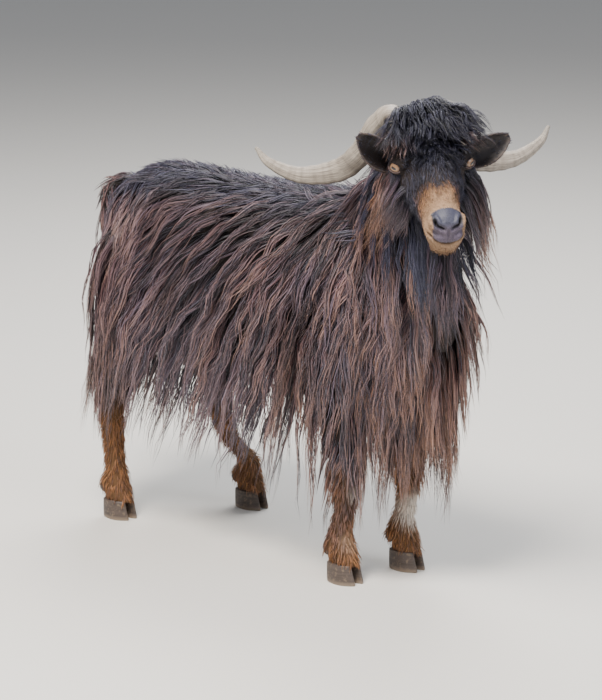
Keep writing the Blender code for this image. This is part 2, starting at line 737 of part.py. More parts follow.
def main():
    random.seed(7)
    clear_scene()
    place = head_place()
    turn = place.to_3x3()

    eyes, horns, ears = [], [], []
    for side, word in SIDES:
        eye = Node(f"eye_{word}", "eye")
        eye.add(ball(place @ Vector((EYE_AT.x, side * EYE_AT.y, EYE_AT.z)), EYE_RADIUS, sides=10, rings=7))
        eyes.append(eye)
        blade = Node(f"horn_{word}", "horn")
        blade.add(horn(side).mesh)
        horns.append(blade)
        pinna = Node(f"ear_{word}", "ear_skin")
        pinna.add(ear(side))
        ears.append(pinna)

    torso_form = Form(TORSO, (0, 0, 1), 17, 18, axis=AHEAD)
    neck_form = Form(NECK, (0, 0, 1), 8, 16)
    head_form = Form(HEAD, (0, 0, 1), 19, 16, place, axis=AHEAD)
    torso_tree = tree_of(torso_form.mesh, CORE)
    neck_tree = tree_of(neck_form.mesh, CORE)
    head_tree = tree_of(head_form.mesh)

    head = Node("head", "coat_black")
    head.add(head_form.mesh)
    carve = []
    for side, _ in SIDES:
        head.add(ball(place @ Vector((-0.002, side * 0.050, 0.014)), 0.0215, (1.15, 0.95, 0.95), turn, 8, 6))
        head.add(cord([place @ p for p in lid(side, True)], 0.0034))
        head.add(cord([place @ p for p in lid(side, False)], 0.0028))
        slant = turn @ Matrix.Rotation(side * math.radians(38), 3, "X")
        carve.append(ball(place @ Vector((0.153, side * 0.0170, -0.019)), 0.0078, (1.3, 0.48, 1.0), slant, 8, 5))
    head.add(ball(place @ Vector((0.129, 0.0, -0.070)), 0.0185, (1.20, 1.35, 0.85), turn, 8, 5))
    head.add(cord(muzzle_line(head_form, -0.044, 0.66, -0.0002), 0.0036))
    carve.append(cord(muzzle_line(head_form, -0.051, 0.68, 0.0016), 0.0022))
    crown = place @ Vector((-0.042, 0.0, 0.046))
    mop = ball(crown, 0.050, (1.15, 1.10, 0.76), turn)
    head.add(mop)
    forelock(head, tree_of(mop), crown, turn)
    beard(head, head_tree, place)
    cheeks(head, head_tree, place, [(neck_tree, 0.012)])

    neck = Node("neck", "coat_brown")
    neck.add(lambda grow: neck_form.mesh(CORE + grow))
    ruff(neck, neck_form, neck_tree, [(torso_tree, 0.034), (head_tree, 0.012)])

    leg_trees, uppers, lowers, claws = [], [], [], []
    for name in FEET:
        word = name.split("_")[1]
        form = upper_leg(name)
        tree = tree_of(form.mesh)
        leg_trees.append((tree, 0.022))
        upper = Node(("foreleg_" if "fore" in name else "thigh_") + word, "coat_brown")
        upper.add(form.mesh)
        leg_locks(upper, form, tree, name)
        uppers.append(upper)
        lower = Node(f"shank_{name}", "coat_tan")
        lower.add(lower_leg(name).mesh)
        leg_trees.append((tree_of(lower_leg(name).mesh), 0.018))
        for dewclaw in dewclaws(name):
            lower.add(dewclaw)
        lowers.append(lower)
        for side, word in SIDES:
            toe = Node(f"claw_{name}_{word}", "hoof")
            toe.add(claw(FEET[name][0], FEET[name][1], side))
            claws.append((toe, lower))

    torso = Node("torso", "coat_brown")
    torso.add(lambda grow: torso_form.mesh(CORE + grow))
    flanks(torso, torso_form, torso_tree, leg_trees)
    rump(torso, torso_form, torso_tree, leg_trees)
    brisket(torso, torso_form, torso_tree, leg_trees)
    tail_form = Form(TAIL, (0, 0, 1), 8, 8)
    tail = Node("tail", "coat_brown")
    tail.add(tail_form.mesh)
    tail_locks(tail, tail_form, tree_of(tail_form.mesh))

    for node in eyes + horns:
        node.build()
    for pinna in ears:
        pinna.build(horns)
    head.build(eyes + horns + ears, carve)
    neck.build([head] + horns + ears)
    for upper, lower in zip(uppers, lowers):
        upper.build([neck])
        lower.build([upper])
    for toe, lower in claws:
        toe.build([lower])
    torso.build([neck, head] + uppers + lowers)
    tail.build([torso])


main()
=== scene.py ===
# %% [markdown]
# # A long-haired Carpathian buck
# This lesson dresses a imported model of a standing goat. The solids give its true size and outline.
# Here they get a skin with a modelled head, a long coat of solid hair, horns, eyes, ears and hooves.
# Everything is in metres. The body faces +X, the animal's left is +Y, and the floor is z = 0.

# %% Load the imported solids
import math

import bpy
import numpy as np
from mathutils import Matrix, Vector
from mathutils.bvhtree import BVHTree


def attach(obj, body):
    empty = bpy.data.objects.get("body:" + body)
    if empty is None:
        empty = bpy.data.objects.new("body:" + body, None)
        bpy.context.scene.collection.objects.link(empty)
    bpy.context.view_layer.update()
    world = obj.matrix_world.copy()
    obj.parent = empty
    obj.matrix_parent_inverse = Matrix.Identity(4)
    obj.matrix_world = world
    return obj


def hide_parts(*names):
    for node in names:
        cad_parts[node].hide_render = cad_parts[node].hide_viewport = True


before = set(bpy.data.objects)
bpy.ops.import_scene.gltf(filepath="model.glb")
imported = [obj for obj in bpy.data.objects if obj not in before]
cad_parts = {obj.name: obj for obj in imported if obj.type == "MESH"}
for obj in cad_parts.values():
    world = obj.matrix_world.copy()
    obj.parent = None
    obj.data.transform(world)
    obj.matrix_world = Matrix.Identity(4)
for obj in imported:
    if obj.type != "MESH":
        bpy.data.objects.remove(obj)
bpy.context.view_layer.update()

# %% [markdown]
# ## Camera
# The photograph was taken from a standing person's height, about five metres off, with a long lens.
# A long lens keeps the far legs nearly as large as the near ones. The camera stands where the hooves,
# the horns and the top line all fall on the places that they have in the photograph.

# %% Camera
TO_CENTRE = np.array((-0.048, -0.0065, 0.0))  # from the withers' floor point to the model's floor centre
CAMERA_AT = np.array((3.918, -3.8625, 1.70)) + TO_CENTRE
AZIMUTH, PITCH, LENS_MM = 45.0, 13.5, 154.3


def way_to(azimuth, elevation):
    """The way out to a viewer or a lamp, in degrees from the animal's right side and up from the floor."""
    a, e = math.radians(azimuth), math.radians(elevation)
    return Vector((math.sin(a) * math.cos(e), -math.cos(a) * math.cos(e), math.sin(e)))


def aimed(data, place, way):
    """A camera or lamp at a place, looking back against this way."""
    made = bpy.data.objects.new(data.name, data)
    bpy.context.scene.collection.objects.link(made)
    made.location = place
    made.rotation_euler = (-way).to_track_quat("-Z", "Y").to_euler()
    return made


lens = bpy.data.cameras.new("camera")
lens.lens, lens.sensor_width, lens.clip_end = LENS_MM, 36.0, 60.0
bpy.context.scene.camera = aimed(lens, Vector(CAMERA_AT), way_to(AZIMUTH, PITCH))
print("camera:", [round(v, 3) for v in CAMERA_AT], "m, lens", LENS_MM, "mm")

# %% [markdown]
# ## Sizes
# An animal's body is a few rounded forms along curved lines. Each row below is a station of such a line:
# its centre, then half the width and half the height there. They are the same rows as the solids have,
# so the skin fills the solids from inside, as deep as the dense inner coat.

# %% Sizes of the body
WITHERS = 0.695
LEFT, RIGHT = 1, -1
SIDES = ((LEFT, "left"), (RIGHT, "right"))
TORSO = [
    (-0.404, 0.0, 0.560, 0.042, 0.058),
    (-0.376, 0.0, 0.560, 0.086, 0.108),
    (-0.306, 0.0, 0.555, 0.112, 0.140),
    (-0.220, 0.0, 0.550, 0.128, 0.148),
    (-0.100, 0.0, 0.530, 0.146, 0.164),
    (0.030, 0.0, 0.524, 0.150, 0.172),
    (0.150, 0.0, 0.526, 0.135, WITHERS - 0.526),
    (0.240, 0.0, 0.530, 0.118, 0.163),
    (0.320, 0.0, 0.525, 0.098, 0.145),
    (0.385, 0.0, 0.515, 0.070, 0.108),
    (0.420, 0.0, 0.508, 0.036, 0.055),
]
NECK = [
    (0.225, 0.0, 0.575, 0.068, 0.100),
    (0.300, -0.006, 0.634, 0.074, 0.110),
    (0.365, -0.030, 0.704, 0.066, 0.094),
    (0.413, -0.066, 0.770, 0.054, 0.074),
    (0.430, -0.080, 0.797, 0.046, 0.060),
]
TAIL = [
    (-0.385, 0.0, 0.645, 0.024, 0.016),
    (-0.425, 0.0, 0.648, 0.024, 0.015),
    (-0.466, 0.0, 0.626, 0.022, 0.014),
    (-0.484, 0.0, 0.580, 0.016, 0.010),
    (-0.488, 0.0, 0.545, 0.007, 0.006),
]
# Feet on the floor, as x and y, then how far the knee or hock stands from over the foot
FEET = {
    "fore_right": (0.258, -0.085, 0.000, 0.000),
    "fore_left": (0.283, 0.055, -0.006, 0.008),
    "hind_right": (-0.345, -0.100, -0.028, 0.004),
    "hind_left": (-0.212, 0.132, -0.085, -0.014),
}
print("withers:", WITHERS, "m under the hair; feet:", ", ".join(FEET))

# %% [markdown]
# ## Numbers in bulk
# Blender's own loops are slow over a million hairs, so NumPy works on whole arrays of points at once.
# A few small functions say in plain words what is done to them over and over.

# %% Arrays


def unit(vectors):
    return vectors / np.maximum(np.linalg.norm(vectors, axis=-1, keepdims=True), 1e-12)


def columns(*values):
    """Arrays and plain numbers side by side, as the columns of one array."""
    return np.stack(np.broadcast_arrays(*values), -1)


def ease(values, low, high):
    """0 below low and 1 above high, with a soft step between them."""
    share = np.clip((values - low) / (high - low), 0.0, 1.0)
    return share * share * (3.0 - 2.0 * share)


def bell(values, middle, width):
    """1 in the middle, and close to 0 from two widths away."""
    return np.exp(-(((values - middle) / width) ** 2))


def spot(points, centre, sizes, power=1):
    """The same in space. A higher power gives the spot a crisper edge."""
    return np.exp(-((((points - centre) / sizes) ** 2).sum(-1) ** power))


def rough(points, size):
    """A smooth, repeatable unevenness from -1 to 1, about this size across."""
    wave = np.array([[1.0, 0.6, -0.3], [-0.5, 1.1, 0.7], [0.4, -0.8, 1.2]]) * 2 * np.pi / size
    first = np.sin(points @ wave[0]) * np.cos(points @ wave[1] + 1.7)
    return first * 0.6 + 0.4 * np.sin(points @ wave[2] + 0.6)


def carried(points, place):
    """Points moved by a 4 by 4 matrix."""
    place = np.array(place)
    return points @ place[:3, :3].T + place[:3, 3]


print("halfway up a soft step:", ease(0.5, 0.0, 1.0))

# %% [markdown]
# ## Forms
# A form sweeps an oval along a smooth curve through its stations, as a boat builder lofts a hull. The
# same form gives a mesh for the skin, and places on that mesh for the roots of the hair.

# %% Curve and rings


def catmull(rows, t):
    """The rows at each t, from 0 to 1, on a smooth curve through them."""
    rows = np.asarray(rows, float)
    spans = len(rows) - 1
    at = np.clip(t, 0.0, 1.0) * spans
    i = np.minimum(at.astype(int), spans - 1)
    u = (at - i)[..., None]
    p1, p2 = rows[i], rows[i + 1]
    p0 = np.where((i > 0)[..., None], rows[np.maximum(i - 1, 0)], 2 * p1 - p2)
    p3 = np.where((i + 2 <= spans)[..., None], rows[np.minimum(i + 2, spans)], 2 * p2 - p1)
    cubic = (-p0 + 3 * p1 - 3 * p2 + p3) * u**3 + (2 * p0 - 5 * p1 + 4 * p2 - p3) * u**2
    return 0.5 * (cubic + (p2 - p0) * u + 2 * p1)


def closed_tube(rings, sides):
    """Triangles round rings of points, closed at both ends by the two points that follow the rings."""
    i, k = np.meshgrid(np.arange(rings - 1), np.arange(sides), indexing="ij")
    a, b = (i * sides + k).ravel(), (i * sides + (k + 1) % sides).ravel()
    k = np.arange(sides)
    after, end, pole = (k + 1) % sides, (rings - 1) * sides, rings * sides
    return np.concatenate([columns(a, b, b + sides), columns(a, b + sides, a + sides),
                           columns(after, k, pole), columns(end + k, end + after, pole + 1)])


def rounds(sides):
    """Even angles round a circle."""
    return np.arange(sides) * 2 * np.pi / sides


print("a plain tube of 3 rings has", len(closed_tube(3, 8)), "triangles")

# %% Forms and balls


class Form:
    """A rounded body through stations, in a place of its own."""

    def __init__(self, rows, up=(0, 0, 1), place=None, axis=None):
        self.rows, self.up, self.axis = np.array(rows, float), np.array(up, float), axis
        self.place = np.array(place if place is not None else Matrix.Translation(TO_CENTRE))

    def frames(self, t):
        """The centre, the three directions, and the half width and height at t."""
        row = catmull(self.rows, t)
        if self.axis is None:
            along = unit(catmull(self.rows, t + 0.01)[..., :3] - catmull(self.rows, t - 0.01)[..., :3])
        else:
            along = np.broadcast_to(np.array(self.axis, float), row[..., :3].shape)
        left = unit(np.cross(self.up, along))
        return row[..., :3], along, left, np.cross(along, left), row[..., 3], row[..., 4]

    def points(self, t, angle, grow=0.0):
        """Places on the surface: angle 0 is the left, a quarter turn the top."""
        t, angle = np.broadcast_arrays(t, angle)
        centre, _, left, top, width, height = self.frames(t)
        across = left * ((np.maximum(width, 0.001) + grow) * np.cos(angle))[..., None]
        rise = top * ((np.maximum(height, 0.001) + grow) * np.sin(angle))[..., None]
        return carried(centre + across + rise, self.place)

    def mesh(self, rings, sides, grow=0.0):
        """Points and triangles of the closed form."""
        t, angle = np.meshgrid(np.linspace(0, 1, rings), rounds(sides), indexing="ij")
        centre, along, _, _, width, height = self.frames(np.array([0.0, 1.0]))
        reach = 0.45 * np.minimum(width, height) + grow
        poles = carried(centre + along * (reach * [-1, 1])[:, None], self.place)
        points = self.points(t, angle, grow).reshape(-1, 3)
        return np.concatenate([points, poles]), closed_tube(rings, sides)


def ball(centre, radius, stretch=(1, 1, 1), turn=np.eye(3), sides=32, rings=24):
    """Points and triangles of an ellipsoid."""
    low, a = np.meshgrid(np.pi * np.arange(1, rings) / rings, rounds(sides), indexing="ij")
    at = columns(np.sin(low) * np.cos(a), np.sin(low) * np.sin(a), -np.cos(low)).reshape(-1, 3)
    at = np.concatenate([at, [[0, 0, -1], [0, 0, 1]]]) * radius * np.array(stretch)
    return at @ np.array(turn).T + np.array(centre), closed_tube(rings - 1, sides)


print("a test ball has", len(ball((0, 0, 0), 0.01)[1]), "triangles")

# %% [markdown]
# ## Meshes
# Arrays become a mesh in one step, with named numbers on its points that the materials read. A mesh's own
# numbers are read back the same way.

# %% Meshes


def store(mesh, key, numbers):
    layer = mesh.attributes.get(key) or mesh.attributes.new(key, "FLOAT", "POINT")
    layer.data.foreach_set("value", np.asarray(numbers, np.float32).ravel())


def vectors_of(collection, key):
    """One vector for each member of a mesh's collection."""
    flat = np.empty(len(collection) * 3, np.float32)
    collection.foreach_get(key, flat)
    return flat.reshape(-1, 3).astype(float)


def move_points(mesh, points):
    mesh.vertices.foreach_set("co", points.astype(np.float32).ravel())
    mesh.update()


def new_object(name, points, faces, values=None, material=None, smooth=True):
    """An object from points and faces, with named numbers stored on its points."""
    mesh = bpy.data.meshes.new(name)
    corners = faces.shape[1]
    mesh.vertices.add(len(points))
    mesh.vertices.foreach_set("co", points.astype(np.float32).ravel())
    mesh.loops.add(faces.size)
    mesh.loops.foreach_set("vertex_index", faces.astype(np.int32).ravel())
    mesh.polygons.add(len(faces))
    mesh.polygons.foreach_set("loop_start", np.arange(0, faces.size, corners, dtype=np.int32))
    mesh.polygons.foreach_set("use_smooth", np.full(len(faces), smooth))
    mesh.update(calc_edges=True)
    for key, numbers in (values or {}).items():
        store(mesh, key, numbers)
    if material:
        mesh.materials.append(material)
    obj = bpy.data.objects.new(name, mesh)
    bpy.context.scene.collection.objects.link(obj)
    return obj


# %% [markdown]
# ## Materials
# A colour is written in sRGB hex, as a paint chart gives it, and turned into the linear light that a renderer
# adds up. One function adds a shader node with its settings and links, and gives the output to use next.
# Colours are laid over each other like paint: each Mix node puts one over those before it, by a mask.

# %% Materials


def linear(hex_colour):
    """An sRGB hex colour as linear red, green, blue and alpha."""
    parts = [int(hex_colour[i : i + 2], 16) / 255 for i in (1, 3, 5)]
    return (*[c / 12.92 if c <= 0.04045 else ((c + 0.055) / 1.055) ** 2.4 for c in parts], 1.0)


def plug(node, inputs):
    """Sets or links a node's inputs. Each takes a number, a hex colour, or another node's output."""
    for key, value in inputs.items():
        if isinstance(value, bpy.types.NodeSocket):
            node.id_data.links.new(value, node.inputs[key])
        else:
            node.inputs[key].default_value = linear(value) if isinstance(value, str) else value
    return node


def add(tree, kind, inputs=None, out=0, **settings):
    """A new shader node with its settings and links, for the output that is asked for."""
    made = tree.nodes.new("ShaderNode" + kind)
    for key, value in settings.items():
        setattr(made, key, value)
    return plug(made, inputs or {}).outputs[out]


def new_material(name):
    """A material, its nodes, and the shader that all of them lead to."""
    material = bpy.data.materials.new(name)
    material.use_nodes = True
    return material, material.node_tree, material.node_tree.nodes["Principled BSDF"]


print("white in linear light:", linear("#ffffff"))

# %% [markdown]
# ## Where the head is
# The head looks to the animal's right, nods a little, and tilts. Its parts are drawn in the head's own
# coordinates, along the muzzle, to its left, and up, and then carried to their place. The ears and the horns
# stay level while the head nods.

# %% Place of the head
HEAD_TURN, HEAD_NOD, HEAD_TILT = math.radians(-35), math.radians(22), math.radians(2.5)
EYE_CENTRE = Vector((0.490, -0.120, 0.803)) + Vector(TO_CENTRE)  # midway between the eyes
HEAD_TURNED_ONLY = Matrix.Translation(EYE_CENTRE) @ Matrix.Rotation(HEAD_TURN, 4, "Z")
HEAD_PLACE = HEAD_TURNED_ONLY @ Matrix.Rotation(HEAD_NOD, 4, "Y") @ Matrix.Rotation(HEAD_TILT, 4, "X")
LEVEL_PLACE = HEAD_TURNED_ONLY @ Matrix.Rotation(HEAD_TILT, 4, "X")
TO_HEAD, HEAD_AXES = np.array(HEAD_PLACE.inverted()), np.array(HEAD_PLACE.to_3x3())


def in_head(points):
    """The head's own coordinates: along the muzzle, to its left, and up."""
    return carried(points.reshape(-1, 3), TO_HEAD).reshape(points.shape)


def mouth_line(points):
    """How far each point is above or below the line of the mouth, and how far that line reaches it."""
    corner = 0.012 * np.minimum(1.0, (points[:, 1] / 0.0275) ** 2)  # its corners rise, as if it smiled
    return points[:, 2] - (-0.0505 + corner), ease(points[:, 0], 0.098, 0.112)


print("head:", [round(v, 3) for v in EYE_CENTRE], "m between the eyes")

# %% [markdown]
# ## Where the markings lie
# Goat hair and the skin under it share their markings, so one function says how far each marking covers
# a point, and both the skin and every tuft of hair ask it. The buck is black on the face and along the
# spine, tan on the muzzle and the lower legs, cream at the lips, and white on one forefoot.

# %% Markings
MARKINGS = ("tan", "cream", "white", "black")
WHITE_FOOT = ((0.290, 0.058, 0.118), (0.034, 0.028, 0.034))  # the patch's centre and half sizes
CALLUS = ((0.280, -0.085, 0.178), (0.020, 0.014, 0.014))  # on the right knee
CREAM_FOOT = ((0.278, -0.088, 0.082), (0.020, 0.016, 0.015))
UNDER_EYE = ((0.020, 0.056, -0.010), (0.012, 0.012, 0.009))


def markings(points):
    """Shares from 0 to 1 of tan, cream, white, black and bare nose leather at each point."""
    p = points - TO_CENTRE
    x, y, z = p.T
    h = in_head(points)
    wide = np.abs(h[:, 1])
    above, _ = mouth_line(h)
    on_head = (wide < 0.10) & (h[:, 2] > -0.105) & (h[:, 0] > -0.115) & (z > 0.60)
    uneven = rough(points, 0.018) + 1.2 * rough(points, 0.006)
    muzzle = h[:, 0] + 0.45 * wide - 0.55 * np.maximum(-h[:, 2] - 0.012, 0) + 0.009 * uneven
    muzzle = ease(muzzle, 0.069, 0.102)
    leather = ease(h[:, 0] - 0.130 + 0.13 * wide, -0.001, 0.0015)
    leather = leather * (1 - ease(wide, 0.0245, 0.0268)) * ease(above, -0.0006, 0.0010)
    beside_nose = ease(h[:, 0], 0.098, 0.124) * (1 - 0.35 * ease(-above, 0.006, 0.024))
    under_eye = spot(columns(h[:, 0], wide, h[:, 2]), *UNDER_EYE)
    lips = [0.62 * beside_nose, 0.05 * under_eye, 0.45 * muzzle * ease(h[:, 0], 0.070, 0.110)]
    leg = 1 - ease(z + 0.012 * rough(points, 0.05), 0.20, 0.27)
    stripe = leg * ease(z, 0.05, 0.09) * sum(bell(y, foot_y, 0.010) * ease(x - foot_x, 0.004, 0.014)
                                             for foot_x, foot_y, _, _ in FEET.values())
    spine = ease(z, 0.655, 0.690) * (x < 0.22) * (1 - ease(np.abs(y), 0.030, 0.080))
    patches = np.maximum(spot(p, *WHITE_FOOT, power=2), 0.45 * spot(p, *CALLUS, power=2))
    return {
        "tan": np.where(on_head, muzzle, leg * (1 - 0.6 * stripe)),
        "cream": np.where(on_head, np.maximum.reduce(lips), 0.8 * spot(p, *CREAM_FOOT)),
        "white": np.where(on_head, 0.0, patches),
        "black": np.where(on_head, 1 - muzzle, np.maximum(spine, 0.5 * stripe)),
        "leather": np.where(on_head, leather, 0.0),
    }


print("markings:", ", ".join(markings(np.array([EYE_CENTRE]))))

# %% [markdown]
# ## Hair colour
# Goat hair is a keratin fibre, dark at the root, and the sun bleaches the older tips to a reddish brown.
# So the colour runs along each strand, and differs a little from rope to rope and from strand to strand.
# Keratin has an IOR of about 1.55, and clean guard hair is fairly glossy along its length.

# %% Goat hair
HAIR_IOR = 1.55
ROOT_COLOUR, END_COLOUR, SHADE_COLOUR, WHITE_COLOUR = "#0d0b11", "#a8744e", "#0c0b12", "#ddd3c8"
HAIR_TONES = {
    "middle": ("bleach", "#433542", "#855b58"),
    "tip": ("bleach", "#857484", "#d6b09d"),
    "black": ("tone", "#3d3c50", "#0c0b13"),
    "tan": ("tone", "#a57042", "#573a27"),
    "cream": ("tone", "#cfb497", "#94755a"),
}
STRETCHES = {"middle": (0.03, 0.38), "tip": (0.30, 0.95), "end": (0.62, 1.00)}  # shares of a hair's length


def hair_colour(tree):
    """The coat's colour from the values on the mesh: markings, place along the hair, and tone."""
    value = {key: add(tree, "Attribute", out="Fac", attribute_name=key)
             for key in ("along", "tone", "bleach", *MARKINGS)}
    part = {key: add(tree, "MapRange", {0: value["along"], 1: low, 2: high})
            for key, (low, high) in STRETCHES.items()}
    hair = {key: add(tree, "Mix", {0: value[by], 6: one, 7: other}, 2, data_type="RGBA")
            for key, (by, one, other) in HAIR_TONES.items()}
    sunned = add(tree, "Math", {0: part["end"], 1: value["bleach"]}, operation="MULTIPLY")
    # tone darkens the hair towards near black: its own uneven tone, and on the flanks and the ruff also
    # painted shade on the ropes that lie under the others
    shaded = add(tree, "Math", {0: value["tone"], 1: 0.95}, operation="MULTIPLY")
    colour = ROOT_COLOUR
    for share, over in ((part["middle"], hair["middle"]), (part["tip"], hair["tip"]), (sunned, END_COLOUR),
                        (shaded, SHADE_COLOUR), (value["black"], hair["black"]), (value["tan"], hair["tan"]),
                        (value["cream"], hair["cream"]), (value["white"], WHITE_COLOUR)):
        colour = add(tree, "Mix", {0: share, 6: colour, 7: over}, 2, data_type="RGBA")
    return colour


def goat_hair(name, roughness, bluish_sheen):
    """Hair with a sheen, as fine fibres have, whose bluish tint is a painted reflection of the sky."""
    material, tree, shader = new_material(name)
    # the sheen's bluish tint is a painted reflection of the sky on the hair
    plug(shader, {"Base Color": hair_colour(tree), "Roughness": roughness, "IOR": HAIR_IOR,
                  "Specular IOR Level": 0.4, "Sheen Weight": bluish_sheen, "Sheen Roughness": 0.35,
                  "Sheen Tint": "#b9c0dc"})
    return material


LONG_HAIR = goat_hair("long_goat_hair", 0.45, 0.22)
SHORT_HAIR = goat_hair("short_goat_hair", 0.55, 0.08)
print("hair:", LONG_HAIR.name, SHORT_HAIR.name)

# %% [markdown]
# ## Skin of the body
# The skin is one closed surface. The trunk, neck, tail and four legs are lofted as separate forms that run
# into each other, then a voxel remesh wraps them as one, and a smoothing pass takes out the steps. Bones
# and tendons show only on the lower legs, so those forms carry the knee, the hock and the fetlock.

# %% Legs


def upper_leg(name):
    """From the shoulder or hip down to the knee or hock."""
    x, y, joint_x, joint_y = FEET[name]
    kx, ky = x + joint_x, y + joint_y
    side = LEFT if y > 0 else RIGHT
    if name.startswith("fore"):
        rows = [
            (0.225, side * 0.078, 0.545, 0.040, 0.075),
            (0.222, side * 0.096, 0.460, 0.048, 0.078),
            (0.205, side * 0.094, 0.385, 0.042, 0.060),
            ((kx + 0.222) / 2, (ky + side * 0.090) / 2, 0.290, 0.033, 0.038),
            (kx - 0.004, ky, 0.215, 0.027, 0.029),
            (kx - 0.004, ky, 0.185, 0.024, 0.026),
        ]
    else:
        rows = [
            (-0.275, side * 0.075, 0.590, 0.050, 0.085),
            (-0.280, side * 0.100, 0.500, 0.056, 0.105),
            (-0.262, side * 0.112, 0.410, 0.050, 0.092),
            ((kx - 0.285) / 2, (ky + side * 0.108) / 2, 0.320, 0.036, 0.055),
            (kx, ky, 0.250, 0.026, 0.036),
            (kx, ky, 0.222, 0.022, 0.029),
        ]
    return Form(rows, (1, 0, 0), axis=(0, 0, -1))


def lower_leg(name):
    """The cannon, fetlock and pastern."""
    x, y, joint_x, joint_y = FEET[name]
    kx, ky = x + joint_x, y + joint_y
    top = 0.200 if name.startswith("fore") else 0.240
    return Form([
        (kx - 0.004, ky, top, 0.020, 0.023),
        (kx - 0.003, ky, top - 0.020, 0.025, 0.028),
        ((kx * 2 + x) / 3 - 0.004, (ky * 2 + y) / 3, 0.140, 0.0195, 0.021),
        (x - 0.014, y, 0.098, 0.021, 0.022),
        (x - 0.016, y, 0.072, 0.026, 0.028),
        (x - 0.004, y, 0.046, 0.024, 0.027),
        (x + 0.002, y, 0.034, 0.020, 0.025),
    ], (1, 0, 0), axis=(0, 0, -1))


print("legs: 4, each in two forms")

# %% One surface from many
BODY_VOXEL, HEAD_VOXEL = 0.0045, 0.0014  # the face needs the finer grid


def applied(obj):
    """Gives an object the mesh that its modifiers make."""
    graph = bpy.context.evaluated_depsgraph_get()
    mesh, old = bpy.data.meshes.new_from_object(obj.evaluated_get(graph)), obj.data
    obj.modifiers.clear()
    obj.data = mesh
    bpy.data.meshes.remove(old)
    return obj


def fused(name, parts, voxel, smooth_steps):
    """One smooth surface round overlapping closed parts."""
    starts = np.cumsum([0] + [len(points) for points, _ in parts])
    faces = np.concatenate([faces + start for (_, faces), start in zip(parts, starts)])
    obj = new_object(name, np.concatenate([points for points, _ in parts]), faces)
    remesh = obj.modifiers.new("wrap", "REMESH")
    remesh.mode, remesh.voxel_size, remesh.adaptivity = "VOXEL", voxel, 0.0
    soft = obj.modifiers.new("soften", "SMOOTH")
    soft.factor, soft.iterations = 0.5, smooth_steps
    return applied(obj)


print("voxels:", BODY_VOXEL * 1000, "mm on the body,", HEAD_VOXEL * 1000, "mm on the head")

# %% Body
LEG_SKIN = -0.001  # the short hair of the legs is this much proud of the skin
torso_form, neck_form, tail_form = Form(TORSO, axis=(1, 0, 0)), Form(NECK), Form(TAIL)
parts = [torso_form.mesh(60, 48), neck_form.mesh(30, 40), tail_form.mesh(24, 20, LEG_SKIN)]
for foot, (x, y, _, _) in FEET.items():
    parts += [upper_leg(foot).mesh(36, 32, LEG_SKIN), lower_leg(foot).mesh(36, 28, LEG_SKIN)]
    for side, _ in SIDES:  # the dewclaws' fleshy roots
        parts.append(ball(TO_CENTRE + (x - 0.034, y + side * 0.012, 0.064), 0.009, (1.0, 0.8, 1.3)))
    parts.append(ball(TO_CENTRE + (x - 0.018, y, 0.040), 0.0175, (1.0, 1.1, 0.7)))  # the heel over the hoof
body = fused("skin", parts, BODY_VOXEL, 3)
print("body skin:", len(body.data.vertices), "points")

# %% [markdown]
# ## Head
# A goat's head is a wedge: a broad skull with the eyes on its sides, a long nose bridge, and a blunt, soft
# muzzle. The wedge is lofted, and balls add what stands out from it. All of it is fused in the same way as
# the body, with voxels of just over a millimetre.

# %% Head
HEAD = [
    (-0.096, 0.0, -0.004, 0.030, 0.032),
    (-0.076, 0.0, -0.002, 0.053, 0.059),
    (-0.040, 0.0, -0.007, 0.064, 0.070),
    (0.000, 0.0, -0.013, 0.062, 0.068),
    (0.034, 0.0, -0.021, 0.050, 0.060),
    (0.068, 0.0, -0.030, 0.038, 0.052),
    (0.098, 0.0, -0.036, 0.0335, 0.047),
    (0.124, 0.0, -0.039, 0.0345, 0.045),
    (0.143, 0.0, -0.040, 0.032, 0.040),
    (0.154, 0.0, -0.038, 0.023, 0.029),
]
EYE_RADIUS = 0.0125
EYE_AT = np.array((0.006, 0.0605, 0.012))  # the left eyeball, in the head
MIDDLE_BALLS = (  # centre, radius and stretch
    ((0.129, 0.0, -0.070), 0.0180, (1.20, 1.35, 0.85)),  # the chin
    ((-0.042, 0.0, 0.040), 0.040, (1.15, 1.10, 0.76)),  # the crown
)
PAIRED_BALLS = (
    ((-0.002, 0.050, 0.014), 0.0205, (1.15, 0.95, 0.95)),  # the brow
    (EYE_AT, EYE_RADIUS + 0.0022, (1, 1, 1)),  # the lids
    ((-0.012, 0.034, -0.038), 0.034, (1.25, 0.82, 1.0)),  # the jaw
    ((0.139, 0.0185, -0.018), 0.0150, (1.20, 0.95, 0.90)),  # round the nostril
    ((0.144, 0.0125, -0.041), 0.0155, (1.08, 1.10, 0.85)),  # the upper lip
    ((0.060, 0.012, 0.000), 0.020, (2.6, 0.7, 0.9)),  # the nose bridge
)


def sided(at, side):
    """Places on the animal's left, or the same places on its right."""
    return np.array(at) * (1, side, 1)


balls = [*MIDDLE_BALLS, *((sided(at, side), *form) for side, _ in SIDES for at, *form in PAIRED_BALLS)]
parts = [Form(HEAD, place=HEAD_PLACE, axis=(1, 0, 0)).mesh(70, 56, -0.0015)]
parts += [ball(HEAD_PLACE @ Vector(at), *form, HEAD_AXES) for at, *form in balls]
head = fused("head_skin", parts, HEAD_VOXEL, 4)
print("head skin:", len(head.data.vertices), "points")

# %% [markdown]
# ## Creases of the face
# Nostrils, the cleft of the upper lip, the mouth and the folds of the lids are soft creases in the skin. Each
# is pressed in along a drawn line: every point moves along its normal, by how far the line is from it.

# %% Lines on the skin


def distance_to(points, path):
    """How far each point is from a bent line, and how far along the line the nearest place is, 0 to 1."""
    best, where = np.full(len(points), 1e9), np.zeros(len(points))
    steps = len(path) - 1
    for i in range(steps):
        a, b = path[i], path[i + 1]
        t = np.clip(((points - a) @ (b - a)) / ((b - a) @ (b - a)), 0, 1)
        away = np.linalg.norm(points - a - t[:, None] * (b - a), axis=1)
        where = np.where(away < best, (i + t) / steps, where)
        best = np.minimum(away, best)
    return best, where


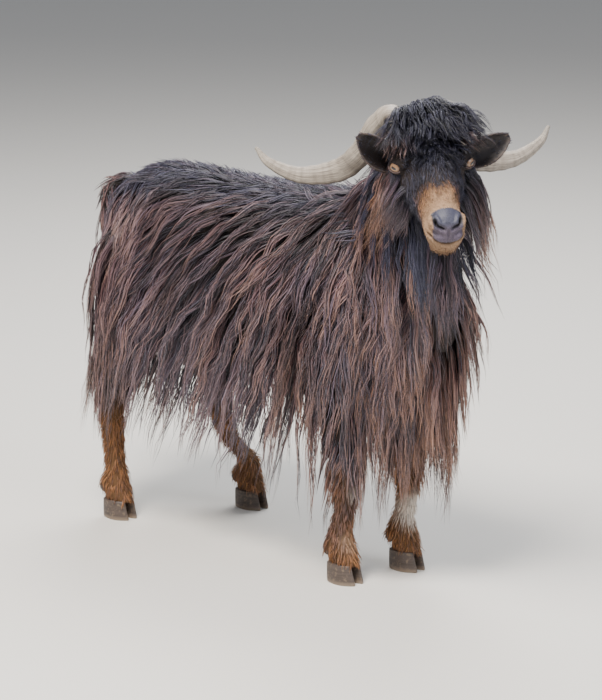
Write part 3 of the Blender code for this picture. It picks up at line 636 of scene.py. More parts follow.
def seen_ahead(points, path):
    """The same on the muzzle's front as seen from ahead, so that a line lies on the surface."""
    across = np.array((0.0, 1.0, 1.0))
    away, where = distance_to(points * across, np.array(path, float) * across)
    return away + 0.03 * (1 - ease(points[:, 0], 0.124, 0.133)), where


def crease(points, path, width, depth, fade):
    """How deep a crease along a line is at each point. It fades towards both of its ends."""
    away, where = distance_to(points, np.array(path, float))
    return depth * (1 - fade * (2 * np.abs(where - 0.5)) ** 2) * bell(away, 0, width)


line = np.array([(0.0, 0.0, 0.0), (1.0, 0.0, 0.0)])
print("half a metre off a line:", distance_to(np.array([(0.3, 0.5, 0.0)]), line)[0])

# %% Lids
GAZE = unit(np.array((0.74, 0.66, 0.20)))  # of the left eye


def eye_frame(side):
    """The eye's centre, and its outward, forward and upward directions, in the head."""
    out = GAZE * (1, side, 1)
    ahead = unit(np.array((1.0, 0, 0)) - out * out[0])
    return sided(EYE_AT, side), out, ahead, np.cross(out, ahead) * -side


def lid_margin(points, side):
    """For each point near an eye: degrees inside the opening of the lids, its reach, way out and rise."""
    centre, out, ahead, up = eye_frame(side)
    rel = points - centre
    reach = np.linalg.norm(rel, axis=1)
    way = rel / reach[:, None]
    across = np.degrees(np.arctan2(way @ ahead, way @ out))
    rise = np.degrees(np.arcsin(np.clip(way @ up, -1, 1))) - 3.0 - 0.06 * across
    bow = np.sqrt(np.maximum(1 - (across / 58) ** 2, 0))
    margin = np.minimum(32 * bow - rise, rise + 27 * bow)
    return np.where((way @ out > 0.0) & (reach < 0.026), margin, -99.0), reach, way, rise


def opened_lids(points):
    """Draws the lids over each eyeball and sinks the skin between them behind it."""
    for side, _ in SIDES:
        margin, reach, way, _ = lid_margin(points, side)
        inside, share = ease(margin, -3.0, 1.5), ease(margin, -24.0, -2.0)
        target = (EYE_RADIUS + 0.0030) * (1 - inside) + EYE_RADIUS * 0.86 * inside
        fold = 0.0011 * bell(margin, -15, 4.0)
        points = sided(EYE_AT, side) + way * (reach * (1 - share) + target * share - fold)[:, None]
    return points


print("eyes look along", np.round(GAZE, 2))

# %% Creases pressed in
NOSTRIL = [(0.0, 0.0225, -0.0105), (0.0, 0.0205, -0.0150), (0.0, 0.0150, -0.0190), (0.0, 0.0078, -0.0225)]
WING = [(0.128, 0.033, -0.006), (0.112, 0.034, -0.020), (0.100, 0.034, -0.038)]  # behind the nostril
CLEFT = [(0.0, 0.0, -0.0235), (0.0, 0.0, -0.0505)]  # of the upper lip
points = in_head(vectors_of(head.data.vertices, "co"))
normals = vectors_of(head.data.vertex_normals, "vector") @ HEAD_AXES
for side, _ in SIDES:
    away, where = seen_ahead(points, sided(NOSTRIL, side))
    points = points + normals * (0.0014 * bell(away, 0.0065, 0.003))[:, None]
    points = points - normals * ((0.0100 - 0.0060 * where) * bell(away, 0, 0.0042 - 0.0022 * where))[:, None]
    points = points - normals * crease(points, sided(WING, side), 0.006, 0.0014, 0.6)[:, None]
    centre, _, ahead, _ = eye_frame(side)
    corner = centre + ahead * 0.0145
    tear_line = [corner, corner + (0.012, -side * 0.004, -0.007)]
    points = points - normals * crease(points, tear_line, 0.0030, 0.0018, 0.5)[:, None]
away, _ = seen_ahead(points, CLEFT)
points = points - normals * (0.0024 * bell(away, 0, 0.0017))[:, None]
above, reach = mouth_line(points)
lips = 0.0018 * bell(above, 0.0060, 0.0045) + 0.0012 * bell(above, -0.0060, 0.0050)
points = points + normals * (reach * (lips - 0.0052 * bell(above, 0, 0.0018)))[:, None]
move_points(head.data, carried(opened_lids(points), HEAD_PLACE))
print("face: nostrils, lips, mouth and lids pressed in")

# %% [markdown]
# ## One skin
# Real skin has no seam at the neck, so a Boolean union joins the head to the body. The joined mesh keeps the
# markings as numbers on its points, and a search tree of it finds the nearest skin for every hair.

# %% One skin
union = body.modifiers.new("join", "BOOLEAN")
union.operation, union.object, union.solver = "UNION", head, "MANIFOLD"
skin = applied(body)
bpy.data.objects.remove(head)
mesh = skin.data
mesh.polygons.foreach_set("use_smooth", np.full(len(mesh.polygons), True))
skin_points = vectors_of(mesh.vertices, "co")
tree_skin = BVHTree.FromPolygons([tuple(p) for p in skin_points], [tuple(f.vertices) for f in mesh.polygons])
FLESH = ["torso", "neck", "head", "tail", "foreleg_left", "foreleg_right", "thigh_left", "thigh_right",
         "shank_fore_left", "shank_fore_right", "shank_hind_left", "shank_hind_right"]
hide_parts(*FLESH)
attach(skin, "root")
print("skin:", len(skin_points), "points,", len(mesh.polygons), "faces")

# %% Markings on the skin
h = in_head(skin_points)
above, reach = mouth_line(h)
drawn = {
    **markings(skin_points),
    "on_head": ease(h[:, 0], -0.11, -0.09) * (h[:, 2] > -0.105) * (np.abs(h[:, 1]) < 0.10),
    # a thin line along the mouth, painted dark as the shade in its crease
    "mouth": bell(above, 0, 0.0015) * reach,
    "nose_top": ease(h[:, 2], -0.026, -0.010),
}
for side, _ in SIDES:
    away, where = seen_ahead(h, sided(NOSTRIL, side))
    margin, _, _, rise = lid_margin(h, side)
    # the nostril mask paints the shade inside each nostril near black
    paired = {"nostril": np.exp(-((away / (0.0040 - 0.0024 * where)) ** 4)),
              "lid_rim": ease(margin, -15.0, -7.0),
              "lower_lid": bell(margin, -5.5, 3.0) * ease(-rise, 6.0, 14.0)}
    for key, numbers in paired.items():
        drawn[key] = np.maximum(drawn.get(key, 0.0), numbers)
for key, numbers in drawn.items():
    store(mesh, key, numbers)
print("drawn on the skin:", ", ".join(drawn))

# %% [markdown]
# ## Hide
# Where the hair is short, the eye sees skin through it: dark on the face, tan on the legs. The hairs lie
# flat, so they are mostly bump: a noise stretched to the length of a hair, half a millimetre wide and five
# long. The nose is bare leather, a fine grain of pebbles about 1.2 mm across, moist and smooth.

# %% Hide
HAIR_MM, HAIR_LONG_MM, PEBBLE_MM = 0.9, 9.0, 1.3  # drawn a little coarser than real, so that it shows
HIDE_TONES = {"dark": ("#1a1618", "#2e2522"), "tan": ("#422e1e", "#705031"), "cream": ("#836850", "#b3967a")}
# The top of the nose leather is a bluer grey: a painted reflection of the sky over the leather's own grey.
LEATHER_TONES = (("#625766", "#37303c"), ("#4a4b5c", "#2c2d38"))  # low on the nose, and on its top
material, tree, shader = new_material("short_haired_hide")
value = {key: add(tree, "Attribute", out="Fac", attribute_name=key) for key in drawn if key != "black"}
place = add(tree, "NewGeometry", out="Position")
squash = HAIR_MM / HAIR_LONG_MM
down_hair = add(tree, "Mapping", {"Vector": place, "Scale": (1, 1, squash)})
face_hair = add(tree, "Mapping", {"Vector": place, "Scale": (squash, 1, 1),
                                  "Rotation": tuple(-v for v in HEAD_PLACE.to_euler())})
coords = add(tree, "Mix", {0: value["on_head"], 4: down_hair, 5: face_hair}, 1, data_type="VECTOR")
fibres = add(tree, "TexNoise", {"Vector": coords, "Scale": 1000 / HAIR_MM / 2, "Detail": 2.0})
pebbles = add(tree, "TexVoronoi", {"Vector": place, "Scale": 1000 / PEBBLE_MM}, "Distance")
hair = {key: add(tree, "Mix", {0: fibres, 6: low, 7: high}, 2, data_type="RGBA")
        for key, (low, high) in HIDE_TONES.items()}
nose = [add(tree, "Mix", {0: pebbles, 6: low, 7: high}, 2, data_type="RGBA") for low, high in LEATHER_TONES]
# the upward-facing top gets the bluer leather, a painted sky reflection
leather = add(tree, "Mix", {0: value["nose_top"], 6: nose[0], 7: nose[1]}, 2, data_type="RGBA")
# the dark line of the mouth is painted shade in the crease between the lips
mouth = add(tree, "Math", {0: value["mouth"], 1: 0.92}, operation="MULTIPLY")
colour = hair["dark"]
for share, over in ((value["tan"], hair["tan"]), (value["cream"], hair["cream"]), (value["white"], "#b9aea2"),
                    (value["leather"], leather), (mouth, "#231b1c"), (value["lid_rim"], "#1c1516"),
                    # the nostrils are painted near black as the shade inside them
                    (value["lower_lid"], "#7d6963"), (value["nostril"], "#0d0a0b")):
    colour = add(tree, "Mix", {0: share, 6: colour, 7: over}, 2, data_type="RGBA")
print("hide colours:", ", ".join(HIDE_TONES), "and leather")

# %% Surface of the hide
dents = add(tree, "Math", {0: pebbles, 1: -0.6}, operation="MULTIPLY")
height = add(tree, "Mix", {0: value["leather"], 2: fibres, 3: dents})
bump = add(tree, "Bump", {"Height": height, "Strength": 0.55, "Distance": 0.0008})
gloss = add(tree, "MapRange", {0: value["leather"], 3: 0.85, 4: 0.50})
plug(shader, {"Base Color": colour, "Normal": bump, "Roughness": gloss, "IOR": 1.5,
              "Specular IOR Level": 0.35})
mesh.materials.clear()
mesh.materials.append(material)
print("hide:", len(tree.nodes), "nodes")

# %% [markdown]
# ## Combing
# Long goat hair hangs in ropes: strands that start apart on the skin and draw together towards one tip.
# Each rope begins as a guide line. It starts on the skin and steps along the way that the coat lies, and a
# search tree of the skin keeps it from sinking in, so it runs over the flank and then hangs free.

# %% Guide lines
RANDOM = np.random.default_rng(11)
ROOT_DEPTH = 0.003  # how deep a hair starts in the skin
INNER_COAT = 0.014  # depth of the dense inner coat that the ropes lie on
FLOOR_CLEAR = 0.05  # the lowest that long hair reaches


def comb(roots, lies, lengths, lifts, steps, hangs=None, sway=0.2, base=INNER_COAT * 0.8):
    """Guide lines from roots, and the way that each faces. A line turns from its lie to its hang."""
    count = len(roots)
    lines = np.empty((count, steps + 1, 3))
    outs = np.empty_like(lines)
    sways = RANDOM.uniform(-sway, sway, count)
    starts = RANDOM.uniform(0, 6.3, count)
    lengths, lifts, bases = (np.broadcast_to(v, count) for v in (lengths, lifts, base))
    lies = unit(np.broadcast_to(lies, (count, 3)))
    hangs = lies if hangs is None else unit(hangs)
    for g in range(count):
        near, out, _, _ = tree_skin.find_nearest(Vector(roots[g]))
        start, end = Vector(lies[g]), Vector(hangs[g])
        point, facing = near.copy(), out.copy()
        lines[g, 0], outs[g, 0] = near - out * ROOT_DEPTH, out
        for i in range(1, steps + 1):
            share = i / steps
            lie = start.lerp(end, share)
            way = lie - facing * min(0.0, lie.dot(facing))
            way += way.cross(facing) * sways[g] * math.sin(starts[g] + 5.0 * share)
            point = point + way.normalized() * (lengths[g] / steps)
            near, out, _, away = tree_skin.find_nearest(point)
            gap = bases[g] * min(1.0, 3.0 * share) + lifts[g] * share
            inside = away < 0.09 and (point - near).dot(out) < 0
            if inside or away < gap:
                point = near + out * gap
            point.z = max(point.z, FLOOR_CLEAR)
            facing = (facing + out).normalized()
            lines[g, i], outs[g, i] = point, facing
    return lines, outs


print("floor clearance of the hair:", FLOOR_CLEAR, "m")

# %% [markdown]
# ## Locks
# Neighbouring ropes mat into locks. Each root gets the number of its lock from the cell that it is in, and
# the ropes of a lock are pulled towards their middle line, most at the tip. Some lines are cut short.

# %% Locks and ends


def numbered(*places):
    """The number of each line's lock, from the cells that its root is in."""
    return np.unique(columns(*map(np.floor, places)), axis=0, return_inverse=True)[1].ravel()


def matted(lines, locks, pull):
    """Lines pulled towards the middle line of their lock, most at the tip."""
    middles = np.zeros((locks.max() + 1, *lines.shape[1:]))
    np.add.at(middles, locks, lines)
    middles /= np.bincount(locks)[:, None, None]
    to_tip = np.linspace(0, 1, lines.shape[1])[None, :, None] ** 1.4
    return lines + (middles[locks] - lines) * (np.broadcast_to(pull, len(lines))[:, None, None] * to_tip)


def resampled(lines, ends, count):
    """Each line at count places from its root to its own end, a share of its length."""
    at = ends[:, None] * np.linspace(0, 1, count)[None, :] * (lines.shape[1] - 1)
    i = np.minimum(at.astype(int), lines.shape[1] - 2)
    u = (at - i)[..., None]
    rows = np.arange(len(lines))[:, None]
    return lines[rows, i] * (1 - u) + lines[rows, i + 1] * u


def cut_short(lines, outs, past, shortest):
    """Guide lines that end just before their first place that is past a limit."""
    steps = lines.shape[1] - 1
    ends = np.where(past.any(1), np.maximum(past.argmax(1) - 0.6, shortest), steps) / steps
    return resampled(lines, ends, steps + 1), resampled(outs, ends, steps + 1)


print("three roots lie in locks", numbered(np.array((0.2, 0.8, 1.3))))

# %% [markdown]
# ## Strands
# A strand is a closed, three-cornered ribbon that narrows to a point. Solid strands can be exported and
# printed, which particle hair can't. Around each guide line, a dozen strands are set off sideways, drawn
# together towards the tip, and waved with the rope, each with its own length, so that the tip is ragged.

# %% One strand


def solid_strands(centres, outs, widths, depths):
    """Points and triangles of closed strands. centres and outs are (strands, places, 3)."""
    n, k, _ = centres.shape
    along = unit(np.gradient(centres, axis=1))
    side = unit(np.cross(along, outs))
    flat = np.cross(side, along)
    half, deep = (0.5 * widths)[:, :-1, None], depths[:, :-1, None]
    middle, side, flat = centres[:, :-1], side[:, :-1], flat[:, :-1]
    corners = np.stack([middle + side * half - flat * deep * 0.3, middle + flat * deep * 0.7,
                        middle - side * half - flat * deep * 0.3], axis=2)
    points = np.concatenate([corners.reshape(n, -1, 3), centres[:, -1:]], axis=1)
    i, c = np.meshgrid(np.arange(k - 2), np.arange(3), indexing="ij")
    a, b = (3 * i + c).ravel(), (3 * i + (c + 1) % 3).ravel()
    last, tip = 3 * (k - 2), 3 * (k - 1)
    ends = [(last + c, tip, last + (c + 1) % 3) for c in range(3)] + [(0, 1, 2)]
    one = np.concatenate([columns(a, b + 3, b), columns(a, a + 3, b + 3), ends])
    faces = (one[None] + (np.arange(n) * points.shape[1])[:, None, None]).reshape(-1, 3)
    return points.reshape(-1, 3), faces


def spread_to_points(numbers, k):
    """One number for each strand and place, repeated for the corners there."""
    n = len(numbers)
    grid = np.broadcast_to(numbers if numbers.ndim == 2 else numbers[:, None], (n, k))
    return np.concatenate([np.repeat(grid[:, :-1], 3, axis=1), grid[:, -1:]], axis=1).ravel()


print("a nine-place strand has", 6 * 7 + 4, "triangles")

# %% A piece of the coat
BELLY = 0.35  # where along it a strand is widest
BAKED_PATCH = 0.003  # how wide one strand is on the flat map


class Coat:
    """Strands gathered for one piece of the coat."""

    def __init__(self, name):
        self.name, self.batches, self.count = name, [], 0

    def grow(self, centres, outs, width, depth, unwrapped, values):
        """Adds strands. unwrapped is each root's place on the skin's own flat map."""
        n, k, _ = centres.shape
        share = np.linspace(0, 1, k)[None, :]
        profile = (0.75 + 0.9 * share / BELLY * (share < BELLY) * 0.28
                   + (share >= BELLY) * (0.25 - (share - BELLY) / (1 - BELLY) * 0.86))
        profile = np.clip(profile, 0.10, None)
        points, faces = solid_strands(centres, outs, width[:, None] * profile, depth[:, None] * profile)
        along = spread_to_points(np.repeat(share, n, 0), k)
        corner = np.tile(np.append(np.tile([-0.5, 0.0, 0.5], k - 1), 0.0), n)
        flat = np.repeat(unwrapped, 3 * (k - 1) + 1, 0) + columns(along - 0.5, corner) * BAKED_PATCH
        stored = {"along": along} | {key: spread_to_points(values[key], k)
                                     for key in ("tone", "bleach", *MARKINGS)}
        self.batches.append((points, faces + self.count, flat, stored))
        self.count += len(points)

    def build(self, material, slot):
        """Makes the piece, with a flat map of its own for baked colours."""
        points, faces, flat = (np.concatenate([batch[i] for batch in self.batches]) for i in range(3))
        stored = [batch[3] for batch in self.batches]
        values = {key: np.concatenate([one[key] for one in stored]) for key in stored[0]}
        low, high = flat.min(0), flat.max(0)
        flat = 0.01 + 0.98 * (flat - low) / (high - low)
        obj = new_object(self.name, points, faces, values, material)
        layer = obj.data.uv_layers.new(name="OFBake")
        layer.uv.foreach_set("vector", flat[faces.ravel()].astype(np.float32).ravel())
        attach(obj, "root")
        print(f"{self.name}: {len(faces)} triangles")


print("markings kept on each strand:", ", ".join(MARKINGS))

# %% [markdown]
# ## Ropes
# The strands of a rope share a tone and a wave, and each differs a little from it. A few stray from the rope,
# as dry hair does.

# %% Ropes
DENSITY = 1.0
COUNTS = {"topline": 1900, "rump": 140, "brisket": 176, "ruff": 252, "mane": 76, "mop": 292, "nape": 64,
          "forehead": 120, "beard": 54, "cheek": 84, "face": 6600, "legs": 4900, "thigh": 50, "tail": 60,
          "ear": 900, "ear_rim": 260}
COUNTS = {key: round(number * DENSITY) for key, number in COUNTS.items()}


def no_marks(count, **given):
    """Markings for hair that has its own colour, with those that are given."""
    return {key: np.broadcast_to(given.get(key, 0.0), count) for key in MARKINGS}


def ropes(coat, lines, outs, unwrapped, bleach, strands, spread, width, places=8, wave=0.004,
          wave_length=0.09, gather=0.74, marks=None, flyaway=0.15, dark=0.0):
    """Strands round each guide line, drawn together at its tip."""
    n = len(lines)
    strands = max(3, round(strands * (DENSITY**0.5)))
    which = np.repeat(np.arange(n), strands)
    total = n * strands
    ends = RANDOM.uniform(0.52, 1.0, total)  # the shortest strand ends just past the middle
    centre = resampled(lines[which], ends, places)
    facing = unit(resampled(outs[which], ends, places))
    side = unit(np.cross(unit(np.gradient(centre, axis=1)), facing))
    share = np.linspace(0, 1, places)[None, :] * ends[:, None]
    loose = RANDOM.random(total) < flyaway
    drawn = 1 - np.where(loose, 0.1, gather)[:, None] * share**0.8
    reach = np.broadcast_to(spread, n)[which][:, None]
    across = RANDOM.uniform(-1, 1, total)[:, None] * reach * drawn
    proud = RANDOM.uniform(-0.25, 1, total)[:, None] * 0.35 * reach * drawn * np.minimum(1, 4 * share)
    length = np.linalg.norm(np.diff(lines, axis=1), axis=2).sum(1)[which]
    turns = 2 * np.pi * length[:, None] / wave_length * share
    start = RANDOM.uniform(0, 6.3, n)[which][:, None] + RANDOM.uniform(-0.7, 0.7, total)[:, None]
    swing = wave * RANDOM.uniform(0.5, 1.3, n)[which] * np.where(loose, 1.8, 1.0)
    swing = swing[:, None] * np.minimum(1, 3 * share)
    centre = centre + side * (across + swing * np.sin(turns + start))[..., None]
    centre = centre + facing * (proud + 0.6 * swing * np.cos(turns * 0.8 + start))[..., None]
    centre[..., 2] = np.maximum(centre[..., 2], FLOOR_CLEAR)
    wide = width * RANDOM.uniform(0.55, 1.3, total) * np.where(loose, 0.6, 1.0)
    rope_tone = RANDOM.beta(0.6, 1.2, n) * 0.85 + dark
    dark_strand = 0.65 * (RANDOM.random(total) < 0.40)
    tone = np.clip(0.75 * rope_tone[which] + dark_strand + RANDOM.uniform(-0.15, 0.20, total), 0, 1)
    bleach = np.clip(np.broadcast_to(bleach, n)[which] + RANDOM.normal(0, 0.16, total), 0, 1)
    values = {key: numbers[which] for key, numbers in (marks or markings(lines[:, 0])).items()}
    flat = columns(*unwrapped)[which] + RANDOM.normal(0, 0.0015, (total, 2))
    coat.grow(centre, facing, wide, wide * 0.45, flat, {"tone": tone, "bleach": bleach, **values})


print("ropes and tufts:", COUNTS)

# %% [markdown]
# ## The long coat
# On the back the hair is short and parts at the spine. Down the flank it grows longer, and every rope leans
# back on its way down, most over the middle of the flank. The lowest ropes hang well below the belly. The
# tables say how long the hair is and how far it stands off at each angle from the spine.

# %% Lie of the flanks
FLANK_DEGREES = (5, 14, 38, 62, 86, 110, 132, 150)  # from the spine
FLANK_LENGTH = (0.110, 0.130, 0.190, 0.250, 0.315, 0.360, 0.335, 0.290)
FLANK_LIFT = (0.010, 0.014, 0.026, 0.036, 0.042, 0.040, 0.030, 0.020)
TRUNK_LONG, TRUNK_ROUND = 0.84, 0.40  # metres along the trunk, and from the spine round to the belly
ROPE_SPACING, LOCK_LONG, LOCK_HIGH = 0.0252, 0.060, 0.075
STRANDS, STRAND_WIDE = 13, 0.0024  # in each rope. Real hair is far finer, too fine to show
REAR, REAR_LONGER, REAR_LIFT = -0.16, 0.7, 0.20  # behind here the coat is longer and lies closer
FADED_AT = (-0.42, -0.33, -0.20, -0.08, 0.04, 0.14, 0.26)
FADED = (0.75, 0.50, 0.38, 0.26, 0.32, 0.45, 0.60)


def flank_lie(x, side, degrees):
    """Down and back, most over the flank, and sideways off the spine."""
    back = np.clip(2.0 * (0.31 - x), 0.04, 0.56) - 2.2 * np.maximum(0.0, REAR - x)
    on_top = np.cos(np.radians(np.minimum(degrees, 90)))
    return columns(-back - 0.2 * on_top, side * 0.45 * on_top, -1.0)


def faded(points):
    """How far the sun has bleached the tips: most at the rear edge and over the shoulder, in patches."""
    by_place = np.interp(points[:, 0] - TO_CENTRE[0], FADED_AT, FADED)
    return np.clip(by_place + 0.26 * rough(points, 0.24) + 0.12 * rough(points, 0.09), 0, 1)


def scattered(low, high, spacing):
    """Evenly spread pairs of numbers with some jitter, between two corners in the same unit."""
    counts = [max(2, round((h - l) / spacing)) for l, h in zip(low, high)]
    a, b = np.meshgrid(np.arange(counts[0]), np.arange(counts[1]), indexing="ij")
    a = (a + 0.5 * (b % 2)).ravel() + RANDOM.uniform(-0.4, 0.4, a.size)
    b = b.ravel() + RANDOM.uniform(-0.4, 0.4, b.size)
    return [l + (h - l) * np.clip((v + 0.25) / count, 0, 1)
            for l, h, v, count in zip(low, high, (a, b), counts)]


print("flank hair:", FLANK_LENGTH[0], "to", max(FLANK_LENGTH), "m")

# %% Flanks


def flank(side, first, last, name):
    """One side of the trunk, from first to last along it."""
    low, high = (first * TRUNK_LONG, 0.0), (last * TRUNK_LONG, TRUNK_ROUND)
    along, around = scattered(low, high, ROPE_SPACING / DENSITY**0.5)
    t, degrees = along / TRUNK_LONG, 5 + 145 * around / TRUNK_ROUND
    roots = torso_form.points(t, np.radians(90 - side * degrees))
    x = roots[:, 0] - TO_CENTRE[0]
    layer = RANDOM.uniform(0.10, 1.0, len(t))
    rows = np.floor(around / LOCK_HIGH)
    locks = numbered(rows, along / LOCK_LONG + 0.5 * (rows % 2) + RANDOM.uniform(-0.15, 0.15, len(t)))
    of_lock = RANDOM.uniform(0, 1, locks.max() + 1)[locks]
    further = np.maximum(0.0, REAR - x)
    lengths = np.interp(degrees, FLANK_DEGREES, FLANK_LENGTH) * RANDOM.uniform(0.84, 1.08, len(t))
    lengths *= (1 + REAR_LONGER * further) * (0.88 + 0.20 * of_lock)
    lifts = np.interp(degrees, FLANK_DEGREES, FLANK_LIFT) * layer * np.maximum(REAR_LIFT, 1 - 5.0 * further)
    hangs = flank_lie(x, side, degrees)
    upright = 1 - np.interp(degrees, (30, 100, 125), (-0.15, 0.20, 0.9))
    hangs[:, 0] *= 1 - upright * ease(-x, 0.17, 0.27)
    lies = hangs.copy()
    middle = ease(x, -0.24, -0.10) * (1 - ease(x, 0.10, 0.24))
    lies[:, 0] -= 0.35 * middle * (1 - ease(degrees, 60, 120))
    hangs[:, 0] += 0.20 * middle * ease(degrees, 30, 90)
    base = np.interp(degrees, (8, 25, 50), (0.003, 0.008, 0.011)) * (1 - 0.5 * ease(-x, 0.28, 0.38))
    lines, outs = comb(roots, lies, lengths, lifts, 10, hangs, base=base)
    lines = matted(lines, locks, 0.62 * ease(degrees, 15, 60))
    bleach = faded(roots + (0, 0, 0.4)) * ease(degrees, 6, 34) * (0.6 + 0.4 * layer)
    spread = np.interp(degrees, (10, 40, 90), (0.013, 0.014, 0.0145)) * (1 - 0.5 * ease(-x, 0.24, 0.36))
    # Ropes that lie closer to the skin, under the others, get painted shade; the broad patches and the
    # lock-to-lock darkness are the coat's own uneven tone.
    dark = 0.28 * (1 - layer) + (0.30 * rough(roots + (0.3, 0, 0), 0.30) + 0.20 * rough(roots, 0.11))
    dark = dark + 0.40 * (RANDOM.permutation(locks.max() + 1)[locks] / locks.max() - 0.5)
    coat = Coat(name)
    ropes(coat, lines, outs, (t, degrees / 360), bleach, STRANDS, spread, STRAND_WIDE, dark=dark)
    coat.build(LONG_HAIR, "coat")


for side, word in SIDES:
    flank(side, 0.06, 0.46, f"coat_flank_rear_{word}")
    flank(side, 0.46, 0.94, f"coat_flank_front_{word}")

# %% [markdown]
# ## Topline
# Along the spine the hair is short and dark, and stands a little, like the nap of a brush. Short ropes of
# three strands each are scattered over it at random, because no lock shows there.

# %% Topline
coat, count = Coat("coat_topline"), COUNTS["topline"]
t = RANDOM.uniform(0.0, 0.80, count)
degrees = RANDOM.uniform(-32, 32, count)
roots = torso_form.points(t, np.radians(90 - degrees))
x = roots[:, 0] - TO_CENTRE[0]
lies = columns(-1.0, degrees / 32 * 1.1, np.interp(x, (-0.42, -0.30), (-0.9, -0.22)))
lies = lies + RANDOM.normal(0, 0.12, (count, 3))
low = 1 - 0.6 * ease(-x, 0.26, 0.36)
lengths = RANDOM.uniform(0.045, 0.085, count) * low
lines, outs = comb(roots, lies, lengths, RANDOM.uniform(0.004, 0.015, count) * low, 5, base=0.0025)
ropes(coat, lines, outs, (t, degrees / 52 + 0.5), 0.35, 3, 0.004, 0.0021, places=5, wave=0.0015, gather=0.3,
      marks=no_marks(count, black=0.75 + 0.25 * RANDOM.random(count)))
coat.build(LONG_HAIR, "coat")

# %% [markdown]
# ## Rump and brisket
# The trunk's two ends close the coat. Over the rump the ropes hang straight down and close to the body, and
# those of the brisket hang from the chest between the forelegs, in tiers of locks.

# %% Rump
coat, count = Coat("coat_rump"), COUNTS["rump"]
across = RANDOM.uniform(-1, 1, count)
degrees = 118 * np.abs(across) ** 0.75 * np.sign(across)
roots = torso_form.points(RANDOM.uniform(0.0, 0.09, count), np.radians(90 - degrees))
lies = columns(-0.10, degrees / 118 * 0.14, -1.0)
lengths = np.interp(np.abs(degrees), (0, 38, 78, 118), (0.25, 0.31, 0.41, 0.40))
lengths = lengths * RANDOM.uniform(0.75, 1.05, count)
lines, outs = comb(roots, lies, lengths, RANDOM.uniform(0.002, 0.014, count), 10, sway=0.06, base=0.008)
lines = matted(lines, numbered(degrees / 20), 0.4)
bleach = 0.45 + 0.45 * RANDOM.random(count)
ropes(coat, lines, outs, (degrees / 360 + 0.5, RANDOM.random(count)), bleach, STRANDS, 0.014, STRAND_WIDE)
coat.build(LONG_HAIR, "coat")

# %% Brisket
coat, count = Coat("coat_brisket"), COUNTS["brisket"]
t = RANDOM.uniform(0.76, 1.0, count)
degrees = RANDOM.uniform(-115, 115, count) * (1.15 - t * 0.2)
roots = torso_form.points(t, np.radians(-90 + degrees))
lies = columns(0.02 + 0.4 * (t - 0.8), degrees / 115 * 0.10, -1.0)
lengths = 0.256 * RANDOM.uniform(0.66, 1.12, count) * (1.05 - 0.30 * np.abs(degrees) / 115)
lifts = RANDOM.uniform(0.004, 0.032, count) * (1 + 1.9 * (degrees > 0))
lines, outs = comb(roots, lies, lengths, lifts, 10)
lines = matted(lines, numbered(degrees / 26, t * 8), 0.5)
bleach = 0.50 + 0.45 * RANDOM.random(count)
marks = markings(roots)
marks["tan"] = np.maximum(marks["tan"], 0.35 * RANDOM.random(count))
ropes(coat, lines, outs, (t, degrees / 300 + 0.5), bleach, STRANDS, 0.013, STRAND_WIDE, marks=marks)
coat.build(LONG_HAIR, "coat")

# %% [markdown]
# ## Ruff and mane
# The ruff hangs all round the neck, longest below, and stands off more on the side that the head turns from.
# A mane lies back along the crest, over the withers. Both are one piece, because they run into each other.

# %% Ruff
coat, count = Coat("coat_ruff"), COUNTS["ruff"]
t = RANDOM.uniform(0.08, 0.98, count)
degrees = RANDOM.uniform(-90, 270, count)
roots = neck_form.points(t, np.radians(degrees))
crest = np.maximum(0.0, np.sin(np.radians(degrees)))
to_side = np.cos(np.radians(degrees))
left_side = ease(to_side, 0.0, 0.5)
lies = columns(0.16 - 0.60 * crest, 0.30 * to_side * (0.4 + crest) * (1 + left_side), -1.0)
lengths = 0.235 * RANDOM.uniform(0.76, 1.1, count) * (1 - 0.35 * crest) * np.interp(t, (0.7, 1.0), (1.0, 0.8))
layer = RANDOM.uniform(0.15, 1.0, count)
lines, outs = comb(roots, lies, lengths, (0.038 + 0.046 * left_side) * layer, 10)
lines = matted(lines, numbered(t * 5, degrees / 30 + 0.5 * (np.floor(t * 5) % 2)), 0.5)
bleach = np.clip(0.15 + 0.55 * (1 - crest) * RANDOM.random(count) + 0.25 * rough(roots, 0.15), 0, 1)
# the lower layer of ropes gets painted shade; the crest is darker in its own colour
ropes(coat, lines, outs, (t, degrees / 360 + 0.25), bleach, STRANDS, 0.012, 0.0025,
      dark=0.25 * (1 - layer) + 0.15 * crest)
print("ruff:", count, "ropes")

# %% Mane
count = COUNTS["mane"]
t = RANDOM.uniform(0.02, 1.0, count)
degrees = RANDOM.uniform(-42, 42, count)
roots = neck_form.points(t, np.radians(90 - degrees))
lies = columns(-0.72, 0.22 - degrees / 42 * 0.5, -0.66)
lengths = RANDOM.uniform(0.09, 0.14, count)
lines, outs = comb(roots, lies, lengths, RANDOM.uniform(0.004, 0.014, count), 8, base=0.006)
ropes(coat, lines, outs, (t, 0.5 - degrees / 360), 0.3, 10, 0.013, 0.0024,
      marks=no_marks(count, black=RANDOM.uniform(0.3, 0.9, count)))
coat.build(LONG_HAIR, "coat")

# %% [markdown]
# ## Mop
# Between the horns grows a shaggy mop that falls over the brow and over the roots of the ears. Its hair is as
# black as the face. It fans forward from a whorl behind the crown, and each line ends before it hides an eye.

